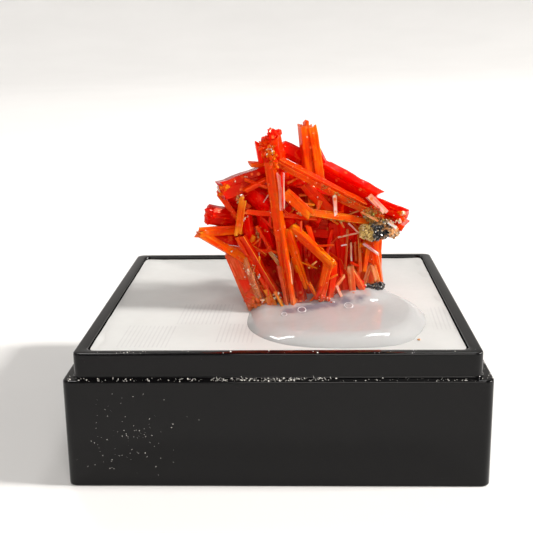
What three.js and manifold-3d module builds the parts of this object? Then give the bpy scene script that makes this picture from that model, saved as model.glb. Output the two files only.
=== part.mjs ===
// Crocoite on matrix. A cluster of red-orange crocoite prisms with two lumps of gossan stands in a puddle of
// clear glue, on the white insert in the black base of a thumbnail specimen box.
// Millimetres, +Z up. The origin is the middle of the underside of the box; +X is right and +Y is back.
import * as THREE from "three";
import { mergeVertices } from "three/addons/utils/BufferGeometryUtils.js";
import Module from "manifold-3d";

const wasm = await Module();
wasm.setup();

// ---------- Driving dimensions ----------

// The box base: a square block, with a collar that stands inside a narrow ledge.
const BOX_SIDE = 32; // outer side of the square block
const BLOCK_HEIGHT = 8.5; // underside to ledge
const LEDGE = 0.725; // width of the ledge round the collar
const COLLAR_HEIGHT = 1.9; // ledge to rim
const COLLAR_WALL = 0.95;
const TRAY_FLOOR = 1.6; // thickness of plastic under the insert
const CORNER_RADIUS = 0.7; // upright corners
const EDGE_RADIUS = 0.3; // bottom, ledge and rim edges
const ARC_STEPS = 3; // facets of each rounded corner

// The insert: a block of white foam whose skin turns up along the left and right walls.
const RIM_TO_INSERT = 0.25; // how far the insert lies below the rim
const INSERT_GAP = 0.12; // clearance to the collar wall
const SKIN_LIP_WIDTH = 0.3;
const SKIN_LIP_HEIGHT = 0.14;

// The glue: a low pad whose outline is drawn on the insert, and a mound under the right-hand crystals.
const GLUE_CENTRE = [5, -4];
const GLUE_OUTLINE = [
  [-2.65, -6.85], [-2.3, -9.1], [-1.3, -11.0], [0.1, -12.35], [1.75, -13.1], [3.8, -13.45], [5.8, -13.45],
  [7.7, -13.2], [9.4, -12.6], [10.95, -10.8], [11.75, -8.7], [12.15, -6.8], [12.15, -4.6], [11.6, -2.4],
  [10.5, -0.6], [9.0, 2.0], [6.6, 4.4], [3, 5.2], [-0.6, 4.4], [-2.9, 1.6], [-3.3, -2.4],
];
const GLUE_SEGMENTS = 28; // corners of the puddle's outline
const GLUE_RINGS = [0.3, 0.65, 0.88, 0.98]; // from the middle out, as shares of the outline
const GLUE_THIN = 0.3; // height of the pad at its left
const GLUE_THICK = 0.75; // height of the pad from the middle to its right
const GLUE_SLOPE = [-1, 5]; // from where to where, across, the pad thickens
const GLUE_SHOULDER = 0.3; // width of the round shoulder at the edge, as a share of the way in
const GLUE_MOUND = 0.7; // height that the mound adds
const GLUE_MOUND_AT = [7.0, -1.6];
const GLUE_MOUND_REACH = [2.4, 2.4]; // half widths of the mound, across and back

// Solids that grew or set against each other are parted by this clearance.
const CLEARANCE = 0.3;

// The drawing board is the upright plane y = 0. Crystals are drawn on it as they are seen from the viewing
// point, and each end is then slid along its line of sight to its own depth: negative is nearer the viewer.
const VIEWING_POINT = new THREE.Vector3(1.77, -80.98, 34.28);

// Each crystal: name, then across, up and depth of its two ends (up is from the ledge), width and thickness,
// and a taper where the second end runs out thin.
const TOP_CRYSTALS = [
  ["sugary head", -0.5, 16.4, -2.4, 0.35, 12.4, -1.4, 1.05, 1.2],
  ["head step left", -1.25, 15.95, -2.0, -0.6, 12.6, -1.2, 0.85, 0.9],
  ["head step low", -1.65, 15.4, -1.4, -1.2, 12.2, -0.8, 0.75, 0.9],
  ["red roof slab", -0.1, 15.25, -0.4, 4.4, 13.1, 1.2, 1.35, 1.0],
  ["tall tower left", 2.1, 17.25, 0.2, 2.85, 9.2, -1.4, 0.78, 0.8],
  ["tall tower right", 2.8, 16.95, 0.3, 3.95, 9.4, -1.2, 0.75, 0.8],
  ["tower middle", 2.5, 16.6, 0.45, 3.4, 9.3, -1.2, 0.75, 0.7],
  ["tower buttress", 2.73, 15.9, 0.9, 4.6, 12.2, 0, 0.6, 0.7],
  ["right slab", 3.55, 13.3, 0.4, 8.6, 10.42, -1.6, 1.6, 1.1],
  ["front rafter", -0.1, 14.05, -2.3, 7.3, 10.1, -2.0, 0.85, 0.7],
  ["low rafter", 4.9, 10.85, -1.5, 9.0, 8.85, -2.4, 0.55, 0.6],
  ["inner rafter", 0.1, 12.6, -1.0, 4.6, 11.4, -0.8, 1.2, 1.2],
  ["pale blade", 7.75, 10.85, -1.9, 9.25, 9.3, -2.5, 0.55, 0.3],
  ["right tip", 7.6, 10.35, -0.6, 11.0, 9.0, -2.4, 1.15, 1.2],
  ["right tip under", 7.8, 9.3, -0.4, 10.9, 8.2, -2.0, 1.2, 1.3],
  ["left beam", -5.2, 11.35, -3.0, -0.6, 13.0, -1.0, 1.6, 1.4],
  ["left beam step", -2.5, 13.7, -1.6, -0.9, 13.6, -1.2, 0.4, 0.6],
  ["left beam foot", -3.05, 11.35, -2.9, -0.6, 12.6, -2.0, 0.4, 0.5],
];
const FRONT_CRYSTALS = [
  ["front bar", -0.78, 13.9, -2.6, 0.98, 0.5, -4.3, 0.82, 0.75],
  ["striped blade", 0.12, 13.2, -2.6, 0.3, 9.7, -3.1, 0.5, 0.4, 0.5],
  ["broad brace", 0.5, 11.2, -2.7, 2.7, 9.15, -2.7, 0.95, 0.8],
  ["long cross bar left", -3.0, 9.5, -3.0, 3.2, 8.85, -2.2, 0.45, 0.5],
  ["long cross bar right", 2.6, 9.4, -2.6, 8.0, 8.5, -2.0, 0.6, 0.6],
  ["white needle", 4.8, 10.95, -2.3, 4.9, 8.9, -2.5, 0.32, 0.3],
  ["inner brace", 2.3, 11.9, -1.2, 4.9, 8.9, -1.8, 1.0, 0.9],
  ["deep red wall", 0.5, 10.4, -1.8, 1.8, 0.4, -3.2, 1.3, 1.1],
  ["orange splinter", 0.55, 7.9, -3.2, 2.2, 2.6, -3.9, 0.8, 0.5, 0.35],
  ["long diagonal", 1.0, 8.2, -3.0, 4.75, 4.55, -3.8, 0.85, 0.7],
  ["short prop", 2.5, 8.2, -2.8, 3.15, 5.9, -3.4, 0.42, 0.4],
  ["right leg", 4.3, 5.1, -3.5, 3.4, 1.2, -3.6, 0.75, 0.7],
  ["right leg twin", 4.75, 4.9, -3.3, 4.45, 1.6, -3.2, 0.5, 0.6],
  ["slanting twig", 5.65, 3.7, -2.6, 4.4, 1.9, -3.3, 0.3, 0.3],
  ["short twig", 5.0, 2.75, -3.1, 5.65, 1.3, -3.6, 0.26, 0.3],
  ["pink leg", 6.2, 4.6, -2.3, 6.5, 1.4, -3.1, 0.6, 0.6],
  ["pink leg brace", 6.3, 4.3, -2.3, 7.8, 1.6, -2.7, 0.5, 0.5],
  ["right foot blade", 8.35, 5.6, -1.3, 7.1, 1.8, -2.1, 0.36, 0.5],
  ["right foot outer", 8.45, 5.8, -1.0, 8.95, 2.9, -1.2, 0.45, 0.5],
  ["tan foot", 8.2, 4.95, -1.3, 8.8, 2.6, -1.4, 0.35, 0.4],
  ["back red column", 4.9, 9.0, -0.8, 5.35, 1.2, -2.4, 1.5, 1.2],
  ["right column", 7.35, 8.6, -0.9, 7.0, 1.6, -1.7, 1.0, 0.9],
  ["right outer column", 8.35, 7.6, -0.5, 8.4, 2.6, -0.8, 0.95, 0.9],
  ["red panel", 2.2, 8.0, -0.6, 7.9, 7.5, -1.0, 1.5, 0.9],
];
const LEFT_CRYSTALS = [
  ["orange shard", -3.12, 10.8, -3.1, -3.7, 7.4, -3.4, 0.62, 0.5],
  ["inner red left", -2.9, 11.9, -1.6, -0.7, 9.4, -1.9, 1.2, 1.2],
  ["left curtain", -3.0, 9.7, -2.5, -2.3, 5.4, -2.9, 0.8, 0.8],
  ["dark curtain", -1.75, 9.8, -2.0, -0.7, 6.0, -2.4, 0.85, 0.9],
  ["blunt prism", -6.2, 9.35, -2.8, -2.4, 8.8, -0.8, 1.6, 1.5],
  ["spike upper", -7.05, 7.72, -3.2, -2.4, 8.0, -1.8, 0.85, 1.0],
  ["spike lower", -7.05, 7.65, -3.3, -2.8, 5.0, -3.1, 0.7, 0.7],
  ["spike web", -6.1, 7.55, -2.9, -2.4, 6.8, -2.0, 1.3, 0.7],
  ["brown edge", -5.3, 11.2, -2.6, -3.5, 8.6, -2.2, 0.45, 0.5],
  ["outer leg", -4.3, 5.9, -2.8, -2.1, 0.2, -3.7, 1.15, 0.9],
  ["speckled leg", -3.1, 5.3, -3.4, -1.4, 0.5, -4.1, 0.55, 0.6],
  ["long left leg", -3.5, 7.4, -3.2, 0.3, 0.5, -4.1, 0.9, 0.6],
  ["inner left leg", -2.6, 4.2, -3.2, -0.6, 0.4, -3.8, 0.5, 0.5],
  ["thin lintel", -2.9, 6.15, -3.2, -0.2, 5.85, -3.2, 0.3, 0.3],
  ["grey hook", -0.95, 5.95, -3.2, 0.15, 4.4, -3.7, 0.32, 0.3],
  ["left foot", -3.05, 1.75, -3.4, -1.2, 0.75, -3.9, 0.9, 1.1],
];
const MIDDLE_CRYSTALS = [
  ["core", 1.2, 12.8, 0.8, 2.2, 0.5, -1.0, 1.7, 1.5],
  ["core left", -2.4, 11.8, -0.4, -0.5, 1.2, 0.2, 1.2, 1.1],
  ["core right", 6.4, 11.2, 0, 5.8, 1.2, -0.4, 1.4, 1.2],
  ["high tie", 1.5, 12.3, -1.9, 2.6, 11.5, 2.6, 0.9, 0.9],
  ["middle tie", 3.3, 9.0, -2.3, 2.6, 7.3, 3.2, 0.9, 0.8],
  ["left tie", -2.6, 7.5, -2.9, -1.5, 7.0, 2.6, 0.9, 0.8],
  ["right tie", 6.9, 6.9, -1.9, 6.2, 6.4, 3.0, 0.9, 0.8],
  ["low tie", 1.0, 2.2, -3.3, 2.4, 2.6, 2.4, 0.8, 0.8],
  ["left low tie", -2.3, 1.4, -3.7, -0.8, 2.2, 1.6, 0.8, 0.7],
  ["right low tie", 7.2, 3.0, -2.2, 6.0, 2.6, 2.4, 0.8, 0.7],
];
const BACK_CRYSTALS = [
  ["back mast", -1.6, 13.2, 2.2, 1.4, 0.5, 1.6, 1.1, 1.0],
  ["back mast right", 5.8, 12.4, 2.2, 3.4, 0.8, 1.8, 1.0, 0.9],
  ["back cross beam", -5.4, 9.2, 1.6, 8.6, 7.0, 1.4, 1.0, 0.9],
  ["back rafter", -2.8, 12.2, 1.0, 7.0, 9.4, 2.6, 0.9, 0.8],
  ["back leg left", -4.6, 8.6, 1.4, -1.2, 0.4, 0.4, 1.0, 0.9],
  ["back leg right", 8.2, 8.8, 1.2, 6.2, 1.2, 1.2, 1.0, 0.9],
  ["back diagonal", -2.6, 4.4, 3.4, 5.6, 11.6, 1.8, 0.85, 0.8],
  ["back diagonal low", 0.2, 2.9, 3.0, 8.4, 6.4, 1.6, 0.8, 0.7],
  ["back splinter", 1.8, 14.2, 2.4, 4.6, 1.4, 3.2, 0.7, 0.6],
  ["back spear", 2.6, 6.3, -0.4, 4.6, 11.6, 5.4, 0.8, 0.75],
  ["back spear left", 0.6, 5.3, -0.4, -3.4, 9.2, 5.0, 0.8, 0.75],
  ["back spear low", 4.2, 4.6, -0.4, 7.4, 4.4, 5.0, 0.7, 0.7],
  ["back spear high", 1.4, 8.6, -0.4, -0.6, 14.6, 4.4, 0.75, 0.7],
  ["back spear flat", 2.2, 8.0, -0.4, 1.2, 7.2, 5.8, 0.8, 0.8],
  ["back prop", 0.4, 9.0, 3.6, 2.6, 0.8, 2.6, 0.7, 0.65],
  ["back roof", -1.2, 14.4, 0.8, 4.8, 11.6, 3.2, 0.8, 0.8],
  ["back hip right", 7.8, 10.2, 0.2, 8.4, 5.2, 3.4, 0.7, 0.7],
  ["back hip left", -2.6, 11.4, 0.2, -4.0, 6.6, 2.8, 0.8, 0.7],
  ["back foot right", 3.6, 0.8, 3.8, 4.8, 5.8, 2.0, 0.8, 0.7],
  ["back foot left", -0.8, 0.6, 3.0, 0.6, 5.8, 2.2, 0.7, 0.7],
  ["back tip right", 5.0, 9.0, 1.2, 8.6, 9.9, 3.4, 0.7, 0.65],
  ["back tip left", -1.6, 8.6, 0.6, -4.2, 11.0, 2.8, 0.8, 0.7],
];
const TAPER = 0.9; // width at a crystal's second end, as a share of its first
const CLIPPED_CORNER = 0.3; // how much of two opposite corners the smaller prism faces take
const LEAST_CLIPPED = 1.2; // crystals narrower than this have only the four main prism faces
const ROLL_STEP = 37; // degrees, so that no two neighbours show the same face
const ROLL_MOST = 24; // degrees
const END_SLANT = 0.35; // height of the most slanted end, as a share of the crystal's width

// Lumps of gossan: across, up and depth of the middle, and half sizes across, back and up.
const KNOB_LUMPS = [
  [7.6, 7.65, -2.6, 0.8, 0.8, 0.7],
  [8.6, 7.7, -2.7, 0.85, 0.8, 0.8],
  [9.55, 7.85, -2.4, 0.85, 0.8, 0.75],
  [8.3, 7.35, -2.3, 0.9, 0.9, 0.55],
  [9.9, 7.7, -1.7, 0.7, 0.8, 0.65],
];
const FOOT_LUMPS = [
  [7.85, 2.55, -2.0, 0.5, 0.5, 0.42],
  [8.4, 2.6, -1.9, 0.55, 0.5, 0.45],
  [8.95, 2.75, -1.6, 0.4, 0.45, 0.38],
];
const LUMP_DETAIL = 1; // subdivisions of each lump
const LUMP_ROUGHNESS = 0.13; // how far a lump's corners stand in or out, as a share of its size

// ---------- Worked out from them ----------

const COLLAR_SIDE = BOX_SIDE - 2 * LEDGE;
const RECESS_SIDE = COLLAR_SIDE - 2 * COLLAR_WALL;
const RIM_HEIGHT = BLOCK_HEIGHT + COLLAR_HEIGHT;
const INSERT_TOP = RIM_HEIGHT - RIM_TO_INSERT;
const INSERT_SIDE = RECESS_SIDE - 2 * INSERT_GAP;

// ---------- Helpers ----------

// A three.js geometry with its shared corners merged, as a solid that can be joined and cut.
function solid(geometry) {
  const bare = geometry.clone();
  bare.deleteAttribute("normal");
  bare.deleteAttribute("uv");
  const merged = mergeVertices(bare, 1e-4);
  return new wasm.Manifold(
    new wasm.Mesh({
      numProp: 3,
      vertProperties: new Float32Array(merged.attributes.position.array),
      triVerts: new Uint32Array(merged.index.array),
    }),
  );
}

// A solid's faces as a three.js geometry.
function geometryOf(body) {
  const mesh = body.getMesh();
  const geometry = new THREE.BufferGeometry();
  geometry.setAttribute("position", new THREE.BufferAttribute(mesh.vertProperties, mesh.numProp));
  geometry.setIndex(new THREE.BufferAttribute(mesh.triVerts, 1));
  geometry.computeVertexNormals();
  return geometry;
}

// The largest body of a cut solid, without the crumbs that a cut can leave and without sealed hollows.
function largest(body) {
  return body.decompose().reduce((a, b) => (b.volume() > a.volume() ? b : a));
}

function joined(bodies) {
  return bodies.reduce((a, b) => a.add(b));
}

// A square with rounded corners.
function roundedSquare(side, radius) {
  const half = side / 2;
  const straight = half - radius;
  const shape = new THREE.Shape();
  shape.absarc(straight, straight, radius, 0, Math.PI / 2);
  shape.absarc(-straight, straight, radius, Math.PI / 2, Math.PI);
  shape.absarc(-straight, -straight, radius, Math.PI, 1.5 * Math.PI);
  shape.absarc(straight, -straight, radius, 1.5 * Math.PI, 2 * Math.PI);
  return shape;
}

// A square block from one height to another, with rounded corners and rounded upper and lower edges.
function roundedBlock(side, low, high, edge) {
  const geometry = new THREE.ExtrudeGeometry(roundedSquare(side - 2 * edge, CORNER_RADIUS), {
    depth: high - low - 2 * edge,
    curveSegments: ARC_STEPS,
    bevelSize: edge,
    bevelThickness: edge,
    bevelSegments: 2,
    bevelEnabled: edge > 0,
  });
  return solid(geometry.translate(0, 0, low + edge));
}

// A point of the drawing board, slid along its line of sight to the given depth.
function placed(across, up, depth) {
  const onBoard = new THREE.Vector3(across, 0, BLOCK_HEIGHT + up);
  const share = (depth - VIEWING_POINT.y) / -VIEWING_POINT.y;
  return VIEWING_POINT.clone().lerp(onBoard, share);
}

// One prism: a flattened rod, with two clipped corners where it is wide, that tapers a little to slanted ends.
function crystal(row, index, grow) {
  const [, x1, up1, depth1, x2, up2, depth2, width, thickness, taper = TAPER] = row;
  const start = placed(x1, up1, depth1);
  const end = placed(x2, up2, depth2);
  const axis = end.clone().sub(start).normalize();
  start.addScaledVector(axis, -grow);
  end.addScaledVector(axis, grow);
  const w = width / 2 + grow;
  const t = thickness / 2 + grow;
  const cw = width * CLIPPED_CORNER;
  const ct = thickness * CLIPPED_CORNER;
  const clipped = [[-w + cw, -t], [w, -t], [w, t - ct], [w - cw, t], [-w, t], [-w, -t + ct]];
  const plain = [[-w, -t], [w, -t], [w, t], [-w, t]];
  const corners = width < LEAST_CLIPPED ? plain : clipped;
  const section = new THREE.Shape(corners.map(([x, y]) => new THREE.Vector2(x, y)));
  const length = start.distanceTo(end);
  const geometry = new THREE.ExtrudeGeometry(section, { depth: length, bevelEnabled: false });
  const slant = END_SLANT * Math.sin(ROLL_STEP * index);
  const corner = geometry.attributes.position;
  for (let i = 0; i < corner.count; i++) {
    const far = corner.getZ(i) > length / 2;
    const shrink = far ? taper : 1;
    const tilt = (far ? -slant : slant) * corner.getX(i);
    corner.setXYZ(i, corner.getX(i) * shrink, corner.getY(i) * shrink, corner.getZ(i) + tilt);
  }
  const roll = THREE.MathUtils.degToRad(ROLL_MOST) * Math.sin(index * ROLL_STEP + 1);
  const back = new THREE.Vector3(0, 1, 0);
  const side = new THREE.Vector3().crossVectors(back, axis).normalize();
  const deep = new THREE.Vector3().crossVectors(axis, side);
  const turn = new THREE.Matrix4().makeBasis(side, deep, axis).multiply(new THREE.Matrix4().makeRotationZ(roll));
  return solid(geometry.applyMatrix4(turn.setPosition(start)));
}

// All crystals as one solid, cut flat where they stand on the insert. grow makes the cutter for a neighbour.
function crystals(grow) {
  const rows = [...TOP_CRYSTALS, ...FRONT_CRYSTALS, ...LEFT_CRYSTALS, ...MIDDLE_CRYSTALS, ...BACK_CRYSTALS];
  return joined(rows.map((row, index) => crystal(row, index, grow)));
}

// A rough lump made of merged angular pebbles.
function lumps(rows, grow) {
  return joined(
    rows.map(([across, up, depth, rx, ry, rz], index) => {
      const geometry = mergeVertices(bare(new THREE.IcosahedronGeometry(1, LUMP_DETAIL)), 1e-4);
      const corner = geometry.attributes.position;
      const centre = placed(across, up, depth);
      for (let i = 0; i < corner.count; i++) {
        const knock = 1 + LUMP_ROUGHNESS * Math.sin(5 * i + 3 * index);
        corner.setXYZ(
          i,
          centre.x + corner.getX(i) * (rx * knock + grow),
          centre.y + corner.getY(i) * (ry * knock + grow),
          centre.z + corner.getZ(i) * (rz * knock + grow),
        );
      }
      return solid(geometry);
    }),
  );
}

function bare(geometry) {
  geometry.deleteAttribute("normal");
  geometry.deleteAttribute("uv");
  return geometry;
}

// ---------- The pieces ----------

function boxBase() {
  const block = roundedBlock(BOX_SIDE, 0, BLOCK_HEIGHT, EDGE_RADIUS);
  const collar = roundedBlock(COLLAR_SIDE, EDGE_RADIUS, RIM_HEIGHT, EDGE_RADIUS);
  const recess = roundedBlock(RECESS_SIDE, TRAY_FLOOR, RIM_HEIGHT + 1, 0);
  return block.add(collar).subtract(recess);
}

function foamInsert() {
  const half = INSERT_SIDE / 2;
  const lipTop = INSERT_TOP + SKIN_LIP_HEIGHT;
  const section = new THREE.Shape([
    new THREE.Vector2(-half, TRAY_FLOOR),
    new THREE.Vector2(half, TRAY_FLOOR),
    new THREE.Vector2(half, lipTop),
    new THREE.Vector2(half - SKIN_LIP_WIDTH, INSERT_TOP),
    new THREE.Vector2(-half + SKIN_LIP_WIDTH, INSERT_TOP),
    new THREE.Vector2(-half, lipTop),
  ]);
  const geometry = new THREE.ExtrudeGeometry(section, { depth: INSERT_SIDE, bevelEnabled: false });
  const slab = solid(geometry.rotateX(Math.PI / 2).translate(0, half, 0));
  return slab.intersect(roundedBlock(INSERT_SIDE, 0, RIM_HEIGHT, 0)); // it takes the recess's rounded corners
}

// Height of the glue over the insert, at a place and at a share of the way from the middle to the edge.
function glueHeight(x, y, share) {
  const pad = THREE.MathUtils.lerp(GLUE_THIN, GLUE_THICK, THREE.MathUtils.smoothstep(x, ...GLUE_SLOPE));
  const across = (x - GLUE_MOUND_AT[0]) / GLUE_MOUND_REACH[0];
  const along = (y - GLUE_MOUND_AT[1]) / GLUE_MOUND_REACH[1];
  const mound = GLUE_MOUND * Math.exp(-((across * across + along * along) ** 2));
  const shoulder = Math.max(0, (share - 1 + GLUE_SHOULDER) / GLUE_SHOULDER);
  return (pad + mound) * Math.sqrt(1 - shoulder ** 2);
}

function gluePad() {
  const outline = new THREE.CatmullRomCurve3(
    GLUE_OUTLINE.map(([x, y]) => new THREE.Vector3(x, y, 0)),
    true,
  ).getSpacedPoints(GLUE_SEGMENTS);
  // A lathed dome of unit radius, whose spokes are then stretched to the outline.
  const profile = [new THREE.Vector2(0, 0), new THREE.Vector2(1, 0)];
  [...GLUE_RINGS].reverse().forEach((share) => profile.push(new THREE.Vector2(share, 1)));
  profile.push(new THREE.Vector2(0, 1));
  const geometry = new THREE.LatheGeometry(profile, GLUE_SEGMENTS);
  const corner = geometry.attributes.position;
  for (let i = 0; i < corner.count; i++) {
    const spoke = outline[Math.floor(i / profile.length) % GLUE_SEGMENTS];
    const point = profile[i % profile.length];
    const x = THREE.MathUtils.lerp(GLUE_CENTRE[0], spoke.x, point.x);
    const y = THREE.MathUtils.lerp(GLUE_CENTRE[1], spoke.y, point.x);
    const height = point.y ? glueHeight(x, y, point.x) : 0;
    corner.setXYZ(i, x, y, INSERT_TOP + height);
  }
  return solid(geometry);
}

// Everything above the insert's top.
function aboveInsert(body) {
  const slab = new THREE.BoxGeometry(BOX_SIDE, BOX_SIDE, BOX_SIDE).translate(0, 0, INSERT_TOP + BOX_SIDE / 2);
  return body.intersect(solid(slab));
}

const cluster = largest(aboveInsert(crystals(0)));
const clusterCutter = crystals(CLEARANCE);
const knob = largest(lumps(KNOB_LUMPS, 0).subtract(clusterCutter));
const foot = largest(lumps(FOOT_LUMPS, 0).subtract(clusterCutter));
const glue = largest(gluePad().subtract(clusterCutter).subtract(lumps(FOOT_LUMPS, CLEARANCE)));

function mesh(name, body, color, roughness, metalness = 0) {
  const piece = new THREE.Mesh(geometryOf(body), new THREE.MeshStandardMaterial({ color, roughness, metalness }));
  piece.name = name;
  return piece;
}

const part = new THREE.Group();
part.add(mesh("box_base", boxBase(), 0x050505, 0.25));
part.add(mesh("foam_insert", foamInsert(), 0xe9e6e0, 0.6));
part.add(mesh("glue_pad", glue, 0xc8bec3, 0.1));
part.add(mesh("crocoite_cluster", cluster, 0xe03008, 0.15));
part.add(mesh("gossan_knob", knob, 0x6b5330, 0.8));
part.add(mesh("gossan_foot", foot, 0x1d1a18, 0.4));

export default part;
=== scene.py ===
# %% [markdown]
# # Crocoite on matrix
# The object is a small mineral specimen: a jackstraw cluster of red-orange crocoite prisms with two lumps
# of gossan, glued on the white insert in the black base of a thumbnail specimen box. The CAD model gives
# every piece its place and its size. This lesson dresses it: each piece is built again as a finer mesh,
# gets a finish of its own, and takes the place of the plain solid.

# %% Load the CAD model as the fixed frame
import math
import random

import bmesh
import bpy
from mathutils import Matrix, Vector, noise
from mathutils.bvhtree import BVHTree


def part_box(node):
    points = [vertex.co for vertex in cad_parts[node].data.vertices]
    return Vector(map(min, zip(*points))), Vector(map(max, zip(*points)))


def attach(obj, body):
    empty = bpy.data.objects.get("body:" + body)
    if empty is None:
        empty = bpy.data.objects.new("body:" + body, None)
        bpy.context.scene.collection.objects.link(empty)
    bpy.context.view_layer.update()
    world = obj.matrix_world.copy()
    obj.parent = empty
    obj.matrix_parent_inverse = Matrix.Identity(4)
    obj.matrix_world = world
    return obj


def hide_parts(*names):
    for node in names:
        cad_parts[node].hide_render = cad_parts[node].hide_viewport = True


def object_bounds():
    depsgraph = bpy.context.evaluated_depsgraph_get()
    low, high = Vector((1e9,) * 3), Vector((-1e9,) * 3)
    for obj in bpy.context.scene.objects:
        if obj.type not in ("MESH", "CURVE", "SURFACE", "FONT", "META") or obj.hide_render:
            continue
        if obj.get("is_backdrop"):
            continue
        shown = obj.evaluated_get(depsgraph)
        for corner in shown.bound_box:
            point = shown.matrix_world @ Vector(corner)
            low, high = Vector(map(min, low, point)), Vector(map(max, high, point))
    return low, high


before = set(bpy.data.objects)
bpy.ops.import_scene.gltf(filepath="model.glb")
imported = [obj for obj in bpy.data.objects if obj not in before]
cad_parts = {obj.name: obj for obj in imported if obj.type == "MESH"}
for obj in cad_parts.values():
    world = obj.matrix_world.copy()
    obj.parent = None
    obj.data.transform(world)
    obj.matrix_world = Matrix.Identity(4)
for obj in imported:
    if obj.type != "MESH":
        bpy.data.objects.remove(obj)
cad_size = [list(corner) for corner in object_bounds()]
MM = 0.001  # m


def box_in_mm(node):
    """The lowest and the highest corner of the box round a piece of the CAD model."""
    low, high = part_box(node)
    return Vector(low) / MM, Vector(high) / MM


print("CAD box in mm:", [[round(v / MM, 2) for v in corner] for corner in cad_size])

# %% [markdown]
# ## Camera
# A camera is a place, a direction and a lens. Blender turns a camera by a matrix whose columns are its
# right, its up and its backward direction, so the three are worked out from heading, pitch and roll. The
# clip distance matters at this scale: the default cuts off whatever is nearer than 10 cm.

# %% Camera in front of the box, looking a little down
VIEWING_POINT = Vector((1.77, -80.98, 34.28))  # mm
HEADING, PITCH, ROLL = -2.101, 14.677, -0.859  # degrees: to the right, down, and tilted
LENS = 63.8  # mm, on a sensor 36 mm wide
NEAREST_SEEN = 0.005  # m


def camera_turn(heading, pitch, roll):
    flat = math.cos(pitch)
    forward = Vector((math.sin(heading) * flat, math.cos(heading) * flat, -math.sin(pitch)))
    level = Vector((math.cos(heading), -math.sin(heading), 0))
    upright = level.cross(forward)
    right = level * math.cos(roll) + upright * math.sin(roll)
    up = upright * math.cos(roll) - level * math.sin(roll)
    return Matrix((right, up, -forward)).transposed()


camera = bpy.data.objects.new("camera", bpy.data.cameras.new("camera"))
bpy.context.scene.collection.objects.link(camera)
camera.data.lens = LENS
camera.data.clip_start = NEAREST_SEEN
turn = camera_turn(*(math.radians(angle) for angle in (HEADING, PITCH, ROLL)))
camera.matrix_world = Matrix.Translation(VIEWING_POINT * MM) @ turn.to_4x4()
bpy.context.scene.camera = camera
print("camera is", round((VIEWING_POINT * MM).length, 3), "m from the origin")

# %% [markdown]
# ## Light
# Crystals are shown off by their reflections, so the light comes from a few large soft panels: each flat
# face that happens to mirror a panel turns pale, and its neighbour stays deep red. The main panel stands at
# the right, and a larger and weaker one fills the front from half way up. Two hang behind: light that comes
# over a wet surface towards the camera is what makes it shine. A small one at the left is there only for
# its glints. The standard view transform keeps a strong red strong, where a filmic one would fade it.

# %% Soft panels round the object
SPECIMEN_MIDDLE = (0.001, -0.002, 0.018)  # m, where the panels are aimed
PANELS = [
    # name, place in m, side in m, watts, colour
    ("main_light", (0.69, -0.04, 0.47), 0.16, 11.5, (1, 0.98, 0.95)),
    ("front_fill", (0.1, -0.66, 0.6), 0.4, 3.2, (1, 0.96, 0.92)),
    ("back_light_left", (-0.29, 0.62, 0.72), 0.2, 2.0, (1, 0.99, 0.97)),
    ("back_light_right", (0.2, 0.57, 0.79), 0.16, 1.5, (1, 0.99, 0.97)),
    ("side_glint", (-0.62, -0.5, 0.3), 0.1, 0.9, (1, 0.99, 0.97)),
]


def soft_panel(name, place, side, watts, colour):
    panel = bpy.data.objects.new(name, bpy.data.lights.new(name, "AREA"))
    panel.data.shape = "SQUARE"
    panel.data.size = side
    panel.data.energy = watts
    panel.data.color = colour
    panel.location = place
    panel.rotation_mode = "QUATERNION"
    panel.rotation_quaternion = (Vector(SPECIMEN_MIDDLE) - Vector(place)).to_track_quat("-Z", "Y")
    bpy.context.scene.collection.objects.link(panel)


for panel_row in PANELS:
    soft_panel(*panel_row)

# %% [markdown]
# Between the panels the room isn't black: a faint, slightly warm glow from all sides opens the shadows.

# %% Glow of the room
ROOM_COLOUR = (1, 0.985, 0.97, 1)
ROOM_STRENGTH = 0.09
world = bpy.data.worlds.new("studio")
world.use_nodes = True
world.node_tree.nodes["Background"].inputs["Color"].default_value = ROOM_COLOUR
world.node_tree.nodes["Background"].inputs["Strength"].default_value = ROOM_STRENGTH
bpy.context.scene.world = world
bpy.context.scene.view_settings.view_transform = "Standard"
print("room glows at", ROOM_STRENGTH)

# %% [markdown]
# ## Helpers for meshes and for finishes
# Every piece below is made in millimetres, because a crystal edge of a hundredth of a millimetre is easier
# to read, and safer for the mesh tools, than one of a hundred-thousandth of a metre. Each is scaled once,
# when it is dressed: it gets its finishes there, rides the body, and takes the place of its CAD solid.

# %% Helpers for meshes


def mesh_from(built, name):
    """Turns a bmesh into a mesh whose faces look outwards."""
    bmesh.ops.recalc_face_normals(built, faces=built.faces)
    mesh = bpy.data.meshes.new(name)
    built.to_mesh(mesh)
    built.free()
    return mesh


def faces_of(made):
    """The faces of a ball or a cube that a mesh tool has just made."""
    return {face for corner in made["verts"] for face in corner.link_faces}


def dress(name, mesh, finishes, node=None, smooth_angle=None):
    """Puts a mesh made in millimetres into the scene, as a piece of the body, with its finishes."""
    mesh.transform(Matrix.Scale(MM, 4))
    if smooth_angle is None:
        mesh.shade_flat()
    else:
        mesh.shade_smooth()
        mesh.set_sharp_from_angle(angle=math.radians(smooth_angle))
    for finish in finishes:
        mesh.materials.append(finish)
    piece = bpy.data.objects.new(name, mesh)
    bpy.context.scene.collection.objects.link(piece)
    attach(piece, "root")
    if node:
        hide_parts(node)
    print(name, "has", sum(len(p.vertices) - 2 for p in mesh.polygons), "triangles")
    return piece


# %% [markdown]
# A finish is a node tree. The next helper keeps each one short: it adds a node, sets its inputs and joins
# its links, and knows the few recipes that come back: noise, a ramp, a mix of two colours, and a bump.

# %% Helpers for finishes


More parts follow.
